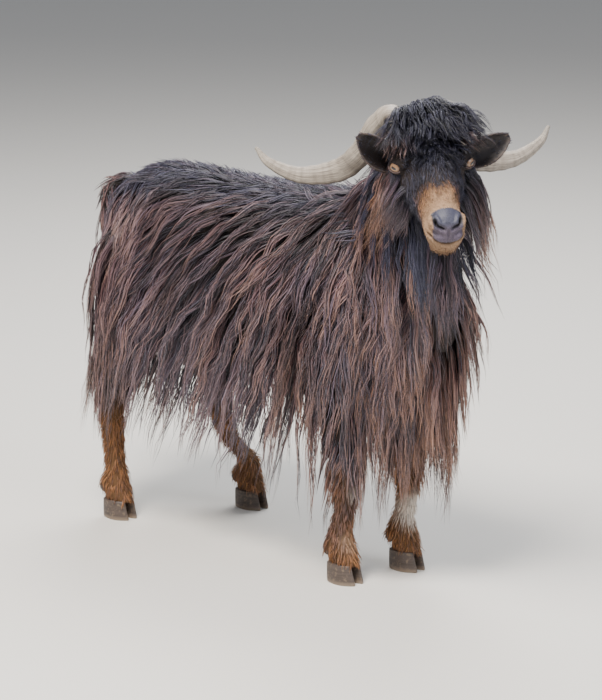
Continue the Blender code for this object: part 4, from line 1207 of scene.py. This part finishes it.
# %% Mop over the brow
coat, count = Coat("hair_of_the_mop"), COUNTS["mop"]
WHORL, CROWN = np.array((-0.118, -0.015, 0.050)), np.array((-0.042, 0.0, 0.040))
around = np.radians(RANDOM.uniform(-180, 180, count))
steep = np.radians(78 * RANDOM.random(count) ** 0.6)
way = columns(np.cos(around) * np.sin(steep), np.sin(around) * np.sin(steep), np.cos(steep))
at = CROWN + way * (0.058, 0.060, 0.050)
ahead, out, _ = unit((at - WHORL + RANDOM.normal(0, 0.008, (count, 3))) * (1, 1.25, 0)).T
swirl = RANDOM.normal(0, 0.34, count)
fan = columns(ahead - swirl * out, out + swirl * ahead, 0.0)
lies = (fan * 0.9 + (0.35, 0.0, 0.10) + RANDOM.normal(0, 0.12, (count, 3))) @ HEAD_AXES.T
hangs = (fan * 0.55 + (0.05, 0.0, 0.0)) @ HEAD_AXES.T + (0.0, 0.0, -0.95)
lengths = RANDOM.uniform(0.080, 0.122, count)
full = np.interp(np.degrees(steep), (0, 45, 78), (1.0, 0.9, 0.4)) * RANDOM.uniform(0.40, 1.0, count)
over_horn = bell(np.abs(at[:, 1]), 0.036, 0.020) * np.where(at[:, 1] > 0, 1.0, 0.45)
base = 0.004 + 0.036 * full + 0.018 * over_horn * (full > 0.3)
lines, outs = comb(carried(at, HEAD_PLACE), lies, lengths, 0.016 * full, 10, hangs, sway=0.22, base=base)
x, y, z = np.moveaxis(in_head(lines), -1, 0)
past = (x > -0.020) & (z < 0.032) & (np.abs(y) > 0.033) | (x > RANDOM.uniform(0.010, 0.046, (count, 1)))
lines, outs = cut_short(lines, outs, past, 3.0)
sides = ease(np.abs(at[:, 1]), 0.040, 0.056)
flat = (at[:, 0] / 0.25 + 0.5, at[:, 1] / 0.25 + 0.5)
ropes(coat, lines, outs, flat, 0.25 + 0.4 * sides, 12, 0.012, 0.0018, places=7, wave=0.002,
      wave_length=0.07, gather=0.60, flyaway=0.06,
      marks=no_marks(count, black=1 - 0.75 * sides), dark=0.42)
print("mop:", count, "ropes")

# %% Nape, behind the horns
count = COUNTS["nape"]
across = RANDOM.uniform(-1, 1, count)
at = columns(RANDOM.uniform(-0.105, -0.070, count), across * 0.050, RANDOM.uniform(0.020, 0.075, count))
lies = columns(-1.0, 0.45 * across, 0.1) + RANDOM.normal(0, 0.15, (count, 3))
hangs = (lies * (0.6, 1, 0)) @ HEAD_AXES.T + (0.0, 0.0, -0.8)
lengths = RANDOM.uniform(0.060, 0.100, count)
lifts = RANDOM.uniform(0.004, 0.016, count)
lies = lies @ HEAD_AXES.T
lines, outs = comb(carried(at, HEAD_PLACE), lies, lengths, lifts, 8, hangs, sway=0.35, base=0.006)
ropes(coat, lines, outs, (0.3 + across * 0.2, at[:, 2] * 4), 0.25, 9, 0.012, 0.0022, places=7, wave=0.003,
      wave_length=0.06, gather=0.45, flyaway=0.06, marks=no_marks(count, black=1.0), dark=0.30)
print("nape:", count, "ropes")

# %% Forehead, parted over the brows
count = COUNTS["forehead"]
at = columns(RANDOM.uniform(-0.030, 0.036, count), RANDOM.uniform(-0.036, 0.036, count), 0.060)
lies = (columns(1.0, 26 * at[:, 1], -0.35) + RANDOM.normal(0, 0.25, (count, 3))) @ HEAD_AXES.T
lengths = RANDOM.uniform(0.030, 0.055, count)
lines, outs = comb(carried(at, HEAD_PLACE), lies, lengths, RANDOM.uniform(0.002, 0.010, count), 8, sway=0.5,
                   base=0.002)
local = in_head(lines)
past = local[..., 0] > RANDOM.uniform(0.045, 0.066, (count, 1))
for side, _ in SIDES:
    past |= np.linalg.norm(local - sided(EYE_AT, side), axis=2) < EYE_RADIUS + 0.0075
lines, outs = cut_short(lines, outs, past, 2.0)
ropes(coat, lines, outs, (at[:, 0] / 0.25 + 0.5, at[:, 1] / 0.25 + 0.5), 0.2, 8, 0.006, 0.0014, places=7,
      wave=0.002, wave_length=0.05, gather=0.4, flyaway=0.04, marks=no_marks(count, black=1.0), dark=0.45)
coat.build(LONG_HAIR, "coat")

# %% [markdown]
# ## Beard and cheeks
# The beard hangs from the chin and the jaws, longest in the middle. Longer hair behind each cheek hides where
# the head meets the neck. It stands off more on the side that the head turns from.

# %% Beard
coat, count = Coat("hair_of_the_beard"), COUNTS["beard"]
across = RANDOM.uniform(-1, 1, count)
roots = carried(columns(RANDOM.uniform(0.080, 0.118, count), across * 0.024, -0.088), HEAD_PLACE)
lies = columns(0.10, across * 0.12, -1.0)
lengths = (0.210 - 0.06 * np.abs(across)) * RANDOM.uniform(0.6, 1.05, count)
lines, outs = comb(roots, lies, lengths, 0.010, 10, base=0.004)
ropes(coat, lines, outs, (0.5 + across * 0.3, RANDOM.uniform(0.0, 1.0, count)), 0.30, 14, 0.009, 0.0022,
      marks=no_marks(count, black=RANDOM.uniform(0.2, 0.8, count)), dark=0.15)
coat.build(LONG_HAIR, "coat")

# %% Cheeks
coat, count = Coat("hair_of_the_cheeks"), COUNTS["cheek"]
for side, _ in SIDES:
    wider = 1.0 if side == LEFT else 0.0
    back, low = RANDOM.uniform(-0.085, 0.035, count), RANDOM.random(count)
    roots = carried(columns(back, side * (0.066 - 0.02 * low), 0.004 - 0.075 * low), HEAD_PLACE)
    lies = (-0.10, side * (0.22 + 0.42 * wider), -1.0) @ HEAD_AXES.T + RANDOM.normal(0, 0.06, (count, 3))
    hangs = (-0.05, side * 0.08, -1.0) @ HEAD_AXES.T + RANDOM.normal(0, 0.04, (count, 3))
    lengths = np.interp(back, (-0.085, 0.035), (0.215 + 0.095 * wider, 0.075 + 0.075 * wider))
    lengths *= RANDOM.uniform(0.7, 1.1, count)
    lifts = RANDOM.uniform(0.008, 0.034 + 0.040 * wider, count)
    lines, outs = comb(roots, lies, lengths, lifts, 9, hangs, base=0.008 + 0.010 * wider)
    russet = 0.55 * (1 - ease(back, -0.06, -0.015 + 0.02 * wider)) * RANDOM.uniform(0.0, 1.0, count)
    marks = no_marks(count, black=0.55 * ease(back, -0.025, 0.025), tan=russet)
    bleach = 0.85 - 0.55 * ease(back, -0.02, 0.03)
    ropes(coat, lines, outs, (0.5 + side * 0.25 + back, low * 0.4), bleach, 12, 0.009, 0.0022, marks=marks)
coat.build(LONG_HAIR, "coat")

# %% [markdown]
# ## Short hair
# On the face, the legs and the ears the hair is only a few millimetres long and lies flat. Single tufts are
# set where it would break the outline, each a small pointed blade, close together, leaning the way that
# the hair grows: down the nose from the brow, back over the cheeks, and down the legs.

# %% Tufts
mesh.calc_loop_triangles()
triangles = np.empty(len(mesh.loop_triangles) * 3, np.int32)
mesh.loop_triangles.foreach_get("vertices", triangles)
corners = skin_points[triangles.reshape(-1, 3)]
crosses = np.cross(corners[:, 1] - corners[:, 0], corners[:, 2] - corners[:, 0])
areas = np.linalg.norm(crosses, axis=1) / 2


def seeded(weights, count):
    """Random places on the skin, more where the weights are high, with the normal there."""
    chance = areas * weights
    chosen = RANDOM.choice(len(areas), count, p=chance / chance.sum())
    a, b = RANDOM.random(count), RANDOM.random(count)
    a, b = np.where(a + b > 1, 1 - a, a), np.where(a + b > 1, 1 - b, b)
    c = corners[chosen]
    at = c[:, 0] + (c[:, 1] - c[:, 0]) * a[:, None] + (c[:, 2] - c[:, 0]) * b[:, None]
    return at, unit(crosses[chosen])


def short_tufts(coat, roots, normals, lies, lengths, width, unwrapped, rise=0.25, marks=None, dark=0.0):
    """Small pointed blades that lean along the skin."""
    n, k = len(roots), 4
    flat = unit(lies - normals * np.sum(lies * normals, 1, keepdims=True) + RANDOM.normal(0, 0.12, (n, 3)))
    share = np.linspace(0, 1, k)[None, :, None]
    blade = flat[:, None] * share + normals[:, None] * (rise * (share * (1.6 - share)))
    centre = (roots - normals * 0.0006)[:, None] + blade * lengths[:, None, None]
    wide = width * RANDOM.uniform(0.7, 1.3, n)
    values = {"tone": RANDOM.uniform(dark, 1, n), "bleach": np.full(n, 0.35), **(marks or markings(roots))}
    coat.grow(centre, np.repeat(normals[:, None], k, axis=1), wide, wide * 0.4, columns(*unwrapped), values)


print("skin:", len(areas), "triangles to set tufts on")

# %% Hair of the face
centres = corners.mean(1)
h = in_head(centres)
above, reach = mouth_line(h)
face = (h[:, 0] > -0.10) & (h[:, 2] > -0.105) & (np.abs(h[:, 1]) < 0.09)
face &= (markings(centres)["leather"] <= 0.3) & ((np.abs(above) > 0.0030) | (reach < 0.5))
for side, _ in SIDES:
    face &= np.linalg.norm(h - sided(EYE_AT, side), axis=1) > EYE_RADIUS + 0.0040
coat = Coat("hair_of_the_face")
roots, normals = seeded(face * (0.35 + ease(h[:, 0], -0.06, 0.02)), COUNTS["face"])
r = in_head(roots)
lengths = np.interp(r[:, 0], (-0.02, 0.03, 0.07, 0.12), (0.024, 0.018, 0.010, 0.0045))
lengths = lengths * RANDOM.uniform(0.7, 1.3, len(r))
lengths *= 1 + 1.2 * ease(-r[:, 2], 0.062, 0.080)  # a little fluff under the chin
lies = columns(1.0, 9 * r[:, 1], -0.5)
for side, _ in SIDES:  # it parts round the eyes, and is short there, so that it doesn't hang over them
    out_of = r - sided(EYE_AT, side)
    away = np.linalg.norm(out_of, axis=1)
    lies = lies + 3.0 * out_of / away[:, None] * bell(away, 0, 0.028)[:, None]
    lengths *= 0.40 + 0.60 * ease(away, 0.016, 0.034)
around = np.arctan2(r[:, 1], r[:, 2] + 0.03) / (2 * np.pi) + 0.5
flat = (r[:, 0] / 0.3 + 0.4, around)
short_tufts(coat, roots, normals, lies @ HEAD_AXES.T, lengths, 0.0012, flat, dark=0.25)
coat.build(SHORT_HAIR, "hide")

# %% Hair of the lower legs
coat = Coat("hair_of_the_legs")
z = centres[:, 2]
on_leg = (z < 0.30) * (z > 0.036)
roots, normals = seeded(on_leg * (0.5 + ease(-z, -0.24, -0.16)), COUNTS["legs"])
lengths = np.interp(roots[:, 2], (0.04, 0.07, 0.15, 0.3), (0.015, 0.018, 0.017, 0.034))
lengths = lengths * RANDOM.uniform(0.7, 1.3, len(roots))
flat = (roots[:, 0] + 0.2 * roots[:, 1], roots[:, 2] * 2)
short_tufts(coat, roots, normals, np.array([(-0.12, 0.0, -1.0)]), lengths, 0.0019, flat, rise=0.34)
coat.build(SHORT_HAIR, "leg_fur")

# %% [markdown]
# ## Upper legs and tail
# Between the short hair of the shanks and the long coat, the legs have hair of middling length that hangs
# straight down. The tail's hair lies along its top and hangs from its sides, like a small flag.

# %% Upper legs
coat, count = Coat("hair_of_thighs_and_tail"), COUNTS["thigh"]
for foot in FEET:
    side = LEFT if FEET[foot][1] > 0 else RIGHT
    t = RANDOM.uniform(0.28, 0.80, count)
    degrees = RANDOM.uniform(-180, 180, count)
    roots = upper_leg(foot).points(t, np.radians(degrees), LEG_SKIN)
    lengths = RANDOM.uniform(0.06, 0.105, count)
    lines, outs = comb(roots, (-0.22, side * 0.05, -1.0), lengths, 0.010, 6, base=0.003)
    ropes(coat, lines, outs, (t * 0.8, degrees / 360 + 0.5), 0.5, 9, 0.010, 0.0032, places=6, wave=0.002)
print("upper legs:", count, "ropes each")

# %% Tail
count = COUNTS["tail"]
t = RANDOM.uniform(0.0, 0.98, count)
degrees = RANDOM.uniform(-60, 240, count)
roots = tail_form.points(t, np.radians(degrees))
over = ease(np.sin(np.radians(degrees)), 0.1, 0.7) * (1 - ease(t, 0.25, 0.7))  # on top it lies along the tail
lies = columns(-0.02 - 0.8 * over, 0.20 * np.cos(np.radians(degrees)), 0.65 * over - 1.0)
lines, outs = comb(roots, lies, RANDOM.uniform(0.055, 0.095, count), 0.003, 7, base=0.002)
ropes(coat, lines, outs, (0.8 + 0.2 * t, degrees / 360), 0.45, 10, 0.008, 0.0032, places=7, wave=0.002)
coat.build(LONG_HAIR, "coat")

# %% [markdown]
# ## Ears
# A goat's ear is a leaf of gristle rolled into a cup, carried level and open to the front. Each turns
# alone. Inside it is nearly bare, its dark skin painted darker still as the shade in its hollow, and its rim
# is painted paler, for the light that shines through the thin edge. It is modelled as two sheets with a
# rounded edge between them, because both of its sides show.

# %% Shape of an ear
EAR_ROOT = np.array((-0.058, 0.058, 0.004))
EAR_TIPS = {LEFT: np.array((-0.052, 0.150, 0.036)), RIGHT: np.array((-0.022, 0.119, 0.062))}
EAR_HALF, EAR_THICK = 0.023, 0.0042
EAR_OPENING = np.array((0.94, -0.10, -0.22))
EAR_ROWS, EAR_PLACES = 36, 31  # places along the ear, and across each sheet


def ear_sheets(side):
    """Points of both sheets, then how near the rim and how far along the ear those of one sheet are."""
    tip = EAR_TIPS[side]
    along = unit(tip - EAR_ROOT)
    mouth = unit(EAR_OPENING - along * (EAR_OPENING @ along))
    wide = np.cross(along, mouth)
    u, s = np.meshgrid(np.linspace(0, 1, EAR_ROWS), np.linspace(-1, 1, EAR_PLACES), indexing="ij")
    half = EAR_HALF * (0.50 + 1.45 * u - 1.72 * u**3) + 0.002
    spread = np.radians(112 - 50 * u)
    radius = half / np.sin(np.minimum(spread, np.pi / 2))
    a = spread * s
    edge = np.maximum(ease(np.abs(s), 0.80, 1.0), ease(u, 0.90, 1.0))
    thick = EAR_THICK * (1 - 0.55 * edge)
    centre = EAR_ROOT + (tip - EAR_ROOT) * u[..., None]
    sheets = []
    for sign in (1, -1):
        r = radius + sign * 0.5 * thick
        at = centre + wide * (r * np.sin(a))[..., None] - mouth * (r * np.cos(a) - radius)[..., None]
        sheets.append(sided(at, side).reshape(-1, 3))
    return carried(np.concatenate(sheets), LEVEL_PLACE), edge.ravel(), u.ravel()


def ear_faces(side):
    """Triangles of both sheets, and of the edge between them."""
    inner = EAR_ROWS * EAR_PLACES
    grid = np.arange(inner).reshape(EAR_ROWS, EAR_PLACES)
    p = grid[:-1, :-1].ravel()
    b, c, d = p + 1, p + 1 + EAR_PLACES, p + EAR_PLACES
    rim = np.concatenate([grid[0], grid[1:, -1], grid[-1, -2::-1], grid[-2:0:-1, 0]])
    after = np.roll(rim, -1)
    faces = np.concatenate([columns(p, b, c), columns(p, c, d), columns(inner + p, inner + c, inner + b),
                            columns(inner + p, inner + d, inner + c), columns(rim, inner + after, after),
                            columns(rim, inner + rim, inner + after)])
    return faces if side == LEFT else faces[:, ::-1]


print("an ear has", len(ear_faces(LEFT)), "triangles")

# %% Ear skin
MOTTLE_MM, DOWN_MM = 25 / 3, 5 / 7  # patches of the skin, and the pores of its down
material, tree, shader = new_material("ear_skin")
place = add(tree, "NewGeometry", out="Position")
value = {key: add(tree, "Attribute", out="Fac", attribute_name=key) for key in ("inside", "rim")}
mottle = add(tree, "TexNoise", {"Vector": place, "Scale": 1000 / MOTTLE_MM, "Detail": 4.0})
fine = add(tree, "TexNoise", {"Vector": place, "Scale": 1000 / DOWN_MM})
# the inner sheet's darker mottle is painted shade in the ear's hollow, over its dark skin
inner = add(tree, "Mix", {0: mottle, 6: "#151213", 7: "#2c2322"}, 2, data_type="RGBA")
colour = add(tree, "Mix", {0: mottle, 6: "#1d1819", 7: "#3a2b26"}, 2, data_type="RGBA")
lit = add(tree, "Math", {0: value["rim"], 1: 0.55}, operation="MULTIPLY")
for share, over in ((value["inside"], inner), (lit, "#6a5c52")):
    colour = add(tree, "Mix", {0: share, 6: colour, 7: over}, 2, data_type="RGBA")
bump = add(tree, "Bump", {"Height": fine, "Strength": 0.4, "Distance": 0.0005})
plug(shader, {"Base Color": colour, "Roughness": 0.6, "Normal": bump})
print("ear skin:", len(tree.nodes), "nodes")

# %% Both ears
for side, word in SIDES:
    points, edge, u = ear_sheets(side)
    rim, u, inside = np.tile(edge, 2), np.tile(u, 2), np.repeat([0.0, 1.0], len(edge))
    ear = new_object(f"ear_shell_{word}", points, ear_faces(side), {"rim": rim, "inside": inside}, material)
    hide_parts(f"ear_{word}")
    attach(ear, "root")
    chance = np.where(inside > 0, 0.35, 1.0)  # the hollow of the ear is nearly bare
    chosen = RANDOM.choice(len(points), COUNTS["ear"], p=chance / chance.sum())
    chosen = np.append(chosen, RANDOM.choice(np.flatnonzero(rim > 0.9), COUNTS["ear_rim"]))
    n, within, on_rim = len(chosen), inside[chosen] > 0, rim[chosen] > 0.85
    light = np.where(on_rim, RANDOM.uniform(0.0, 0.25, n), 0.0)
    light = np.where(within & (u[chosen] < 0.40) & (RANDOM.random(n) < 0.06), 0.85, light)  # white wisps
    lengths = np.where(within, 0.009, 0.0065) * RANDOM.uniform(0.6, 1.3, n)
    lengths = np.where(on_rim, 0.0035, np.where(light > 0.5, 0.017, lengths))
    root, tip = (carried(sided(at, side), LEVEL_PLACE) for at in (EAR_ROOT, EAR_TIPS[side]))
    normals = vectors_of(ear.data.vertex_normals, "vector")[chosen]
    coat = Coat(f"hair_of_ear_{word}")
    flat, marks = (u[chosen], (chosen % EAR_PLACES) / EAR_PLACES), no_marks(n, cream=light, black=1 - light)
    short_tufts(coat, points[chosen], normals, unit(tip - root), lengths, 0.0011, flat, 0.3, marks)
    coat.build(SHORT_HAIR, "hide")

# %% [markdown]
# ## Eyes
# A goat's eye has a pale amber iris and a pupil that is a level slot, which gives it a wide view of the
# ground. The eyeball is wet, so a clear coat of tears lies over it, with the IOR of water.
# The pattern is drawn in the eye's own coordinates: out, ahead and up.

# %% Pattern of the eye
IRIS, PUPIL_LONG, PUPIL_HIGH = 0.0092, 0.0046, 0.0023  # half sizes
SPOKES, SPOKE_LONG_MM = 9.0, 50 / 9  # spokes to a radian, each about a millimetre wide at the iris's rim
material, tree, shader = new_material("wet_goat_eye")
_, ahead, up = add(tree, "SeparateXYZ", {0: add(tree, "TexCoord", out="Object")}).node.outputs
radial = add(tree, "CombineXYZ", {0: ahead, 1: up})
radial = add(tree, "VectorMath", {0: radial}, "Value", operation="LENGTH")
turn = add(tree, "Math", {0: up, 1: ahead}, operation="ARCTAN2")
turn = add(tree, "Math", {0: turn, 1: SPOKES}, operation="MULTIPLY")
outward = add(tree, "Math", {0: radial, 1: 1000 / SPOKE_LONG_MM}, operation="MULTIPLY")
spokes = add(tree, "CombineXYZ", {0: turn, 1: outward})
spokes = add(tree, "TexNoise", {"Vector": spokes, "Scale": 1.0, "Detail": 3.0})
slot = 0.0  # 1 on the pupil's outline, a level slot with round ends
for part, half, power in ((ahead, PUPIL_LONG, 4.0), (up, PUPIL_HIGH, 2.6)):
    part = add(tree, "Math", {0: part, 1: half}, operation="DIVIDE")
    part = add(tree, "Math", {0: part}, operation="ABSOLUTE")
    part = add(tree, "Math", {0: part, 1: power}, operation="POWER")
    slot = add(tree, "Math", {0: slot, 1: part}, operation="ADD")
colour = add(tree, "Mix", {0: spokes, 6: "#5f4330", 7: "#b28d6b"}, 2, data_type="RGBA")
for measure, low, high, over in ((radial, IRIS * 0.8, IRIS, "#4a3224"),
                                 (radial, IRIS, IRIS * 1.06, "#1f1513"), (slot, 1.15, 0.85, "#0b0a10")):
    share = add(tree, "MapRange", {0: measure, 1: low, 2: high})
    colour = add(tree, "Mix", {0: share, 6: colour, 7: over}, 2, data_type="RGBA")
plug(shader, {"Base Color": colour, "Roughness": 0.25, "Coat Weight": 1.0, "Coat Roughness": 0.03,
              "Coat IOR": 1.33})
print("eye:", len(tree.nodes), "nodes")

# %% Eyeballs
for side, word in SIDES:
    centre, *ways = eye_frame(side)
    points, faces = ball((0, 0, 0), EYE_RADIUS, sides=64, rings=40)
    if side == RIGHT:
        points, faces = sided(points, side), faces[:, ::-1]
    bulge = 1 + 0.035 * bell(1 - points[:, 0] / EYE_RADIUS, 0, 0.12)
    eye = new_object(f"eyeball_{word}", points * bulge[:, None], faces, None, material)
    axes = Matrix(np.stack(ways, 1).tolist()).to_4x4()
    eye.matrix_world = HEAD_PLACE @ Matrix.Translation(Vector(centre)) @ axes
    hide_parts(f"eye_{word}")
    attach(eye, "root")
print("eyes:", EYE_RADIUS * 2000, "mm across")

# %% [markdown]
# ## Horns
# Horn is a sheath of keratin over bone. It grows from the root, so the surface keeps fine grooves along
# its length and shallow rings across it. This buck's horns are flat blades that sweep out and back, grey and
# weathered, with painted shade darkening the lower edge, which faces the floor. The grain is drawn in the
# horn's own lengths.

# %% Weathered horn
HORN_LENGTH, HORN_ROUND_MM = 0.42, 100
GROOVE_MM, GROOVE_LONG_MM, RING_MM = 1.2, 40.0, 100 / 9
material, tree, shader = new_material("weathered_horn")
value = {key: add(tree, "Attribute", out="Fac", attribute_name=key)
         for key in ("length", "angle", "shaded_underside")}
along = add(tree, "Math", {0: value["length"], 1: 1000 / GROOVE_LONG_MM}, operation="MULTIPLY")
around = add(tree, "Math", {0: value["angle"], 1: HORN_ROUND_MM / GROOVE_MM}, operation="MULTIPLY")
grain = add(tree, "CombineXYZ", {0: along, 1: around})
grain = add(tree, "TexNoise", {"Vector": grain, "Scale": 1.0, "Detail": 6.0, "Roughness": 0.65})
rings = add(tree, "Math", {0: value["length"], 1: 1000 / RING_MM}, operation="MULTIPLY")
rings = add(tree, "CombineXYZ", {0: rings, 1: value["angle"]})
rings = add(tree, "TexNoise", {"Vector": rings, "Scale": 1.0, "Detail": 3.0})
colour = "#6c635a"
# grain, rings and the paler worn tip are the horn's own colours; the dark underside is painted shade
for measure, low, high, most, over in ((grain, 0.35, 0.65, 1.0, "#b3a99b"),
                                       (rings, 0.45, 0.7, 0.45, "#5a5149"),
                                       (value["shaded_underside"], 0.0, 1.0, 0.9, "#332b28"),
                                       (value["length"], 0.38, 0.43, 1.0, "#8b857c")):
    share = add(tree, "MapRange", {0: measure, 1: low, 2: high, 4: most})
    colour = add(tree, "Mix", {0: share, 6: colour, 7: over}, 2, data_type="RGBA")
gloss = add(tree, "MapRange", {0: grain, 3: 0.62, 4: 0.42})
shallow = add(tree, "Math", {0: rings, 1: 0.5}, operation="MULTIPLY")
height = add(tree, "Math", {0: grain, 1: shallow}, operation="ADD")
bump = add(tree, "Bump", {"Height": height, "Strength": 0.7, "Distance": 0.0012})
plug(shader, {"Base Color": colour, "Roughness": gloss, "Normal": bump, "IOR": HAIR_IOR})
print("horn:", len(tree.nodes), "nodes")

# %% Horn sheaths
HORN = [  # out, back, up, half width, half depth
    (0.026, -0.004, -0.029, 0.014, 0.024),
    (0.047, 0.015, 0.018, 0.017, 0.025),
    (0.070, 0.050, -0.003, 0.020, 0.021),
    (0.094, 0.090, -0.057, 0.022, 0.015),
    (0.129, 0.126, -0.091, 0.0215, 0.011),
    (0.194, 0.142, -0.097, 0.015, 0.009),
    (0.245, 0.156, -0.074, 0.009, 0.006),
    (0.267, 0.170, -0.047, 0.0035, 0.003),
]
HORN_ROOT = LEVEL_PLACE @ Matrix.Translation((-0.055, 0.0, 0.065))
HORN_RINGS, HORN_SIDES = 150, 44
t = np.append(np.repeat(np.linspace(0, 1, HORN_RINGS), HORN_SIDES), [0, 1])
a = np.append(np.tile(np.arange(HORN_SIDES) / HORN_SIDES, HORN_RINGS), [0, 0])
ridges = 0.0005 * np.sin(2 * np.pi * (t * 17 + 0.6 * np.sin(t * 9))) * (1 - ease(t, 0.6, 0.9))
folds = 0.0004 * np.sin(2 * np.pi * a * 7 + 3 * t) + 0.0003 * np.sin(2 * np.pi * a * 15 - 5 * t)
raised = (ridges + folds) * (1 - ease(t, 0.85, 1.0)) - 0.0004
for side, word in SIDES:
    rows = [(-back, side * out, up, wide, deep) for out, back, up, wide, deep in HORN]
    points, faces = Form(rows, (1, 0, 0), HORN_ROOT).mesh(HORN_RINGS, HORN_SIDES)
    horn = new_object(f"horn_sheath_{word}", points, faces, None, material)
    normals = vectors_of(horn.data.vertex_normals, "vector")
    points = points + normals * raised[:, None]
    move_points(horn.data, points)
    # painted shade on the underside, where the normals face the floor
    shaded_underside = bell(normals[:, 2], -1.0, 0.35)
    for key, numbers in (("length", t * HORN_LENGTH), ("angle", a), ("shaded_underside", shaded_underside)):
        store(horn.data, key, numbers)
    if np.einsum("ij,ij->i", normals, points - points.mean(0)).mean() < 0:
        horn.data.flip_normals()
    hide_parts(f"horn_{word}")
    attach(horn, "root")
print("horns:", HORN_LENGTH, "m along the curve")

# %% [markdown]
# ## Hooves
# Each foot ends in two toes in a sheath of dark horn, flat beneath and worn pale at the lower rim. Growth
# lines run round the wall about every 3 mm. The pair are pressed together at the heel and open a
# little in front. The two dewclaws behind the fetlock are small cones of the same horn.

# %% Hoof horn
GROWTH_MM, GRIT_MM = 3.0, 6.25
material, tree, shader = new_material("hoof_horn")
place = add(tree, "NewGeometry", out="Position")
high = add(tree, "SeparateXYZ", {0: place}, "Z")
lines = add(tree, "Mapping", {"Vector": place, "Scale": (0.08, 0.08, 1.0)})
lines = add(tree, "TexNoise", {"Vector": lines, "Scale": 1000 / GROWTH_MM, "Detail": 3.0})
grit = add(tree, "TexNoise", {"Vector": place, "Scale": 1000 / GRIT_MM, "Detail": 5.0})
colour = add(tree, "Mix", {0: lines, 6: "#2a2320", 7: "#5d5048"}, 2, data_type="RGBA")
for measure, low, top, most, over in ((high, 0.009, 0.0, 1.0, "#8a7a68"), (grit, 0.52, 0.68, 0.6, "#7b6a57")):
    share = add(tree, "MapRange", {0: measure, 1: low, 2: top, 4: most})
    colour = add(tree, "Mix", {0: share, 6: colour, 7: over}, 2, data_type="RGBA")
bump = add(tree, "Bump", {"Height": lines, "Strength": 0.6, "Distance": 0.001})
plug(shader, {"Base Color": colour, "Roughness": 0.55, "Normal": bump})
print("hoof horn:", len(tree.nodes), "nodes")

# %% Toes and dewclaws
TOE_LONG, TOE_WIDE, TOE_HIGH, TOE_GAP = 0.064, 0.026, 0.037, 0.0022
TOE_SIDES = 40
TOE_LEVELS = ((0.0, 0.955, 0.0), (0.03, 0.99, 0.0), (0.12, 1.0, -0.0005), (0.45, 0.95, -0.0025),
              (0.80, 0.89, -0.0045), (0.97, 0.85, -0.0056), (1.0, 0.80, -0.006))  # up, size, set back


def toe(foot_x, foot_y, side):
    """Points and triangles of one toe, a little rounded at every edge."""
    a = rounds(TOE_SIDES)
    taper = 1.0 - 0.38 * np.maximum(np.cos(a), 0.0) ** 2
    rings = []
    for up, share, back in TOE_LEVELS:
        x = foot_x + back + 0.5 * TOE_LONG * share * np.cos(a)
        y = TOE_GAP + 0.5 * TOE_WIDE + TOE_WIDE * share * (taper * 0.5 * np.sin(a) - 0.5 * (1 - taper))
        rings.append(columns(x, foot_y + side * y, up * TOE_HIGH))
    points = np.concatenate([*rings, [rings[0].mean(0), rings[-1].mean(0)]])
    faces = closed_tube(len(TOE_LEVELS), TOE_SIDES)
    return points + TO_CENTRE, faces if side == LEFT else faces[:, ::-1]


for foot, (x, y, _, _) in FEET.items():
    for side, word in SIDES:
        hoof = new_object(f"hoof_{foot}_{word}", *toe(x, y, side), None, material)
        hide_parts(f"claw_{foot}_{word}")
        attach(hoof, "root")
        cone = ball(TO_CENTRE + (x - 0.0375, y + side * 0.012, 0.057), 0.0088, (0.9, 0.75, 1.25),
                    Matrix.Rotation(math.radians(-25), 3, "Y"))
        dewclaw = new_object(f"dewclaw_{foot}_{word}", *cone, None, material)
        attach(dewclaw, "root")
print("hooves: 8 toes, 8 dewclaws")

# %% [markdown]
# ## Floor and light
# The model stands on a plain pale floor of matt painted board, as in a studio. The photograph has the soft
# light of a bright, hazy day, so a large lamp stands high in front, a weaker one fills from the right, and
# a third from behind draws the edge of the hair.

# %% Floor
FLOOR_HALF = 30.0
material, tree, shader = new_material("studio_floor")
plug(shader, {"Base Color": "#d6d3cd", "Roughness": 0.9})
corners = np.array([(-1, -1, 0), (1, -1, 0), (1, 1, 0), (-1, 1, 0)]) * FLOOR_HALF
floor = new_object("floor", corners, np.array([(0, 1, 2, 3)]), None, material, smooth=False)
print("floor:", 2 * FLOOR_HALF, "m across")

# %% Light
world = bpy.data.worlds.new("studio")
bpy.context.scene.world = world
world.use_nodes = True
plug(world.node_tree.nodes["Background"], {0: "#dfe6f2", 1: 0.38})
LAMPS = {  # azimuth, elevation, distance, size, watts and colour
    "key": (20, 58, 4.0, 1.6, 420, "#fff8f0"),
    "fill": (95, 30, 4.5, 3.0, 90, "#eef3ff"),
    "rim": (215, 52, 4.0, 2.0, 190, "#ffffff"),
}
for name, (azimuth, elevation, distance, size, watts, hex_colour) in LAMPS.items():
    data = bpy.data.lights.new(name, "AREA")
    data.shape, data.size, data.energy = "SQUARE", size, watts
    data.color = linear(hex_colour)[:3]
    way = way_to(azimuth, elevation)
    aimed(data, way * distance + Vector((0, 0, 0.5)), way)
print("lamps:", ", ".join(LAMPS))

# %% [markdown]
# ## Finish
# The view layer is brought up to date.

# %% Finish
bpy.context.view_layer.update()
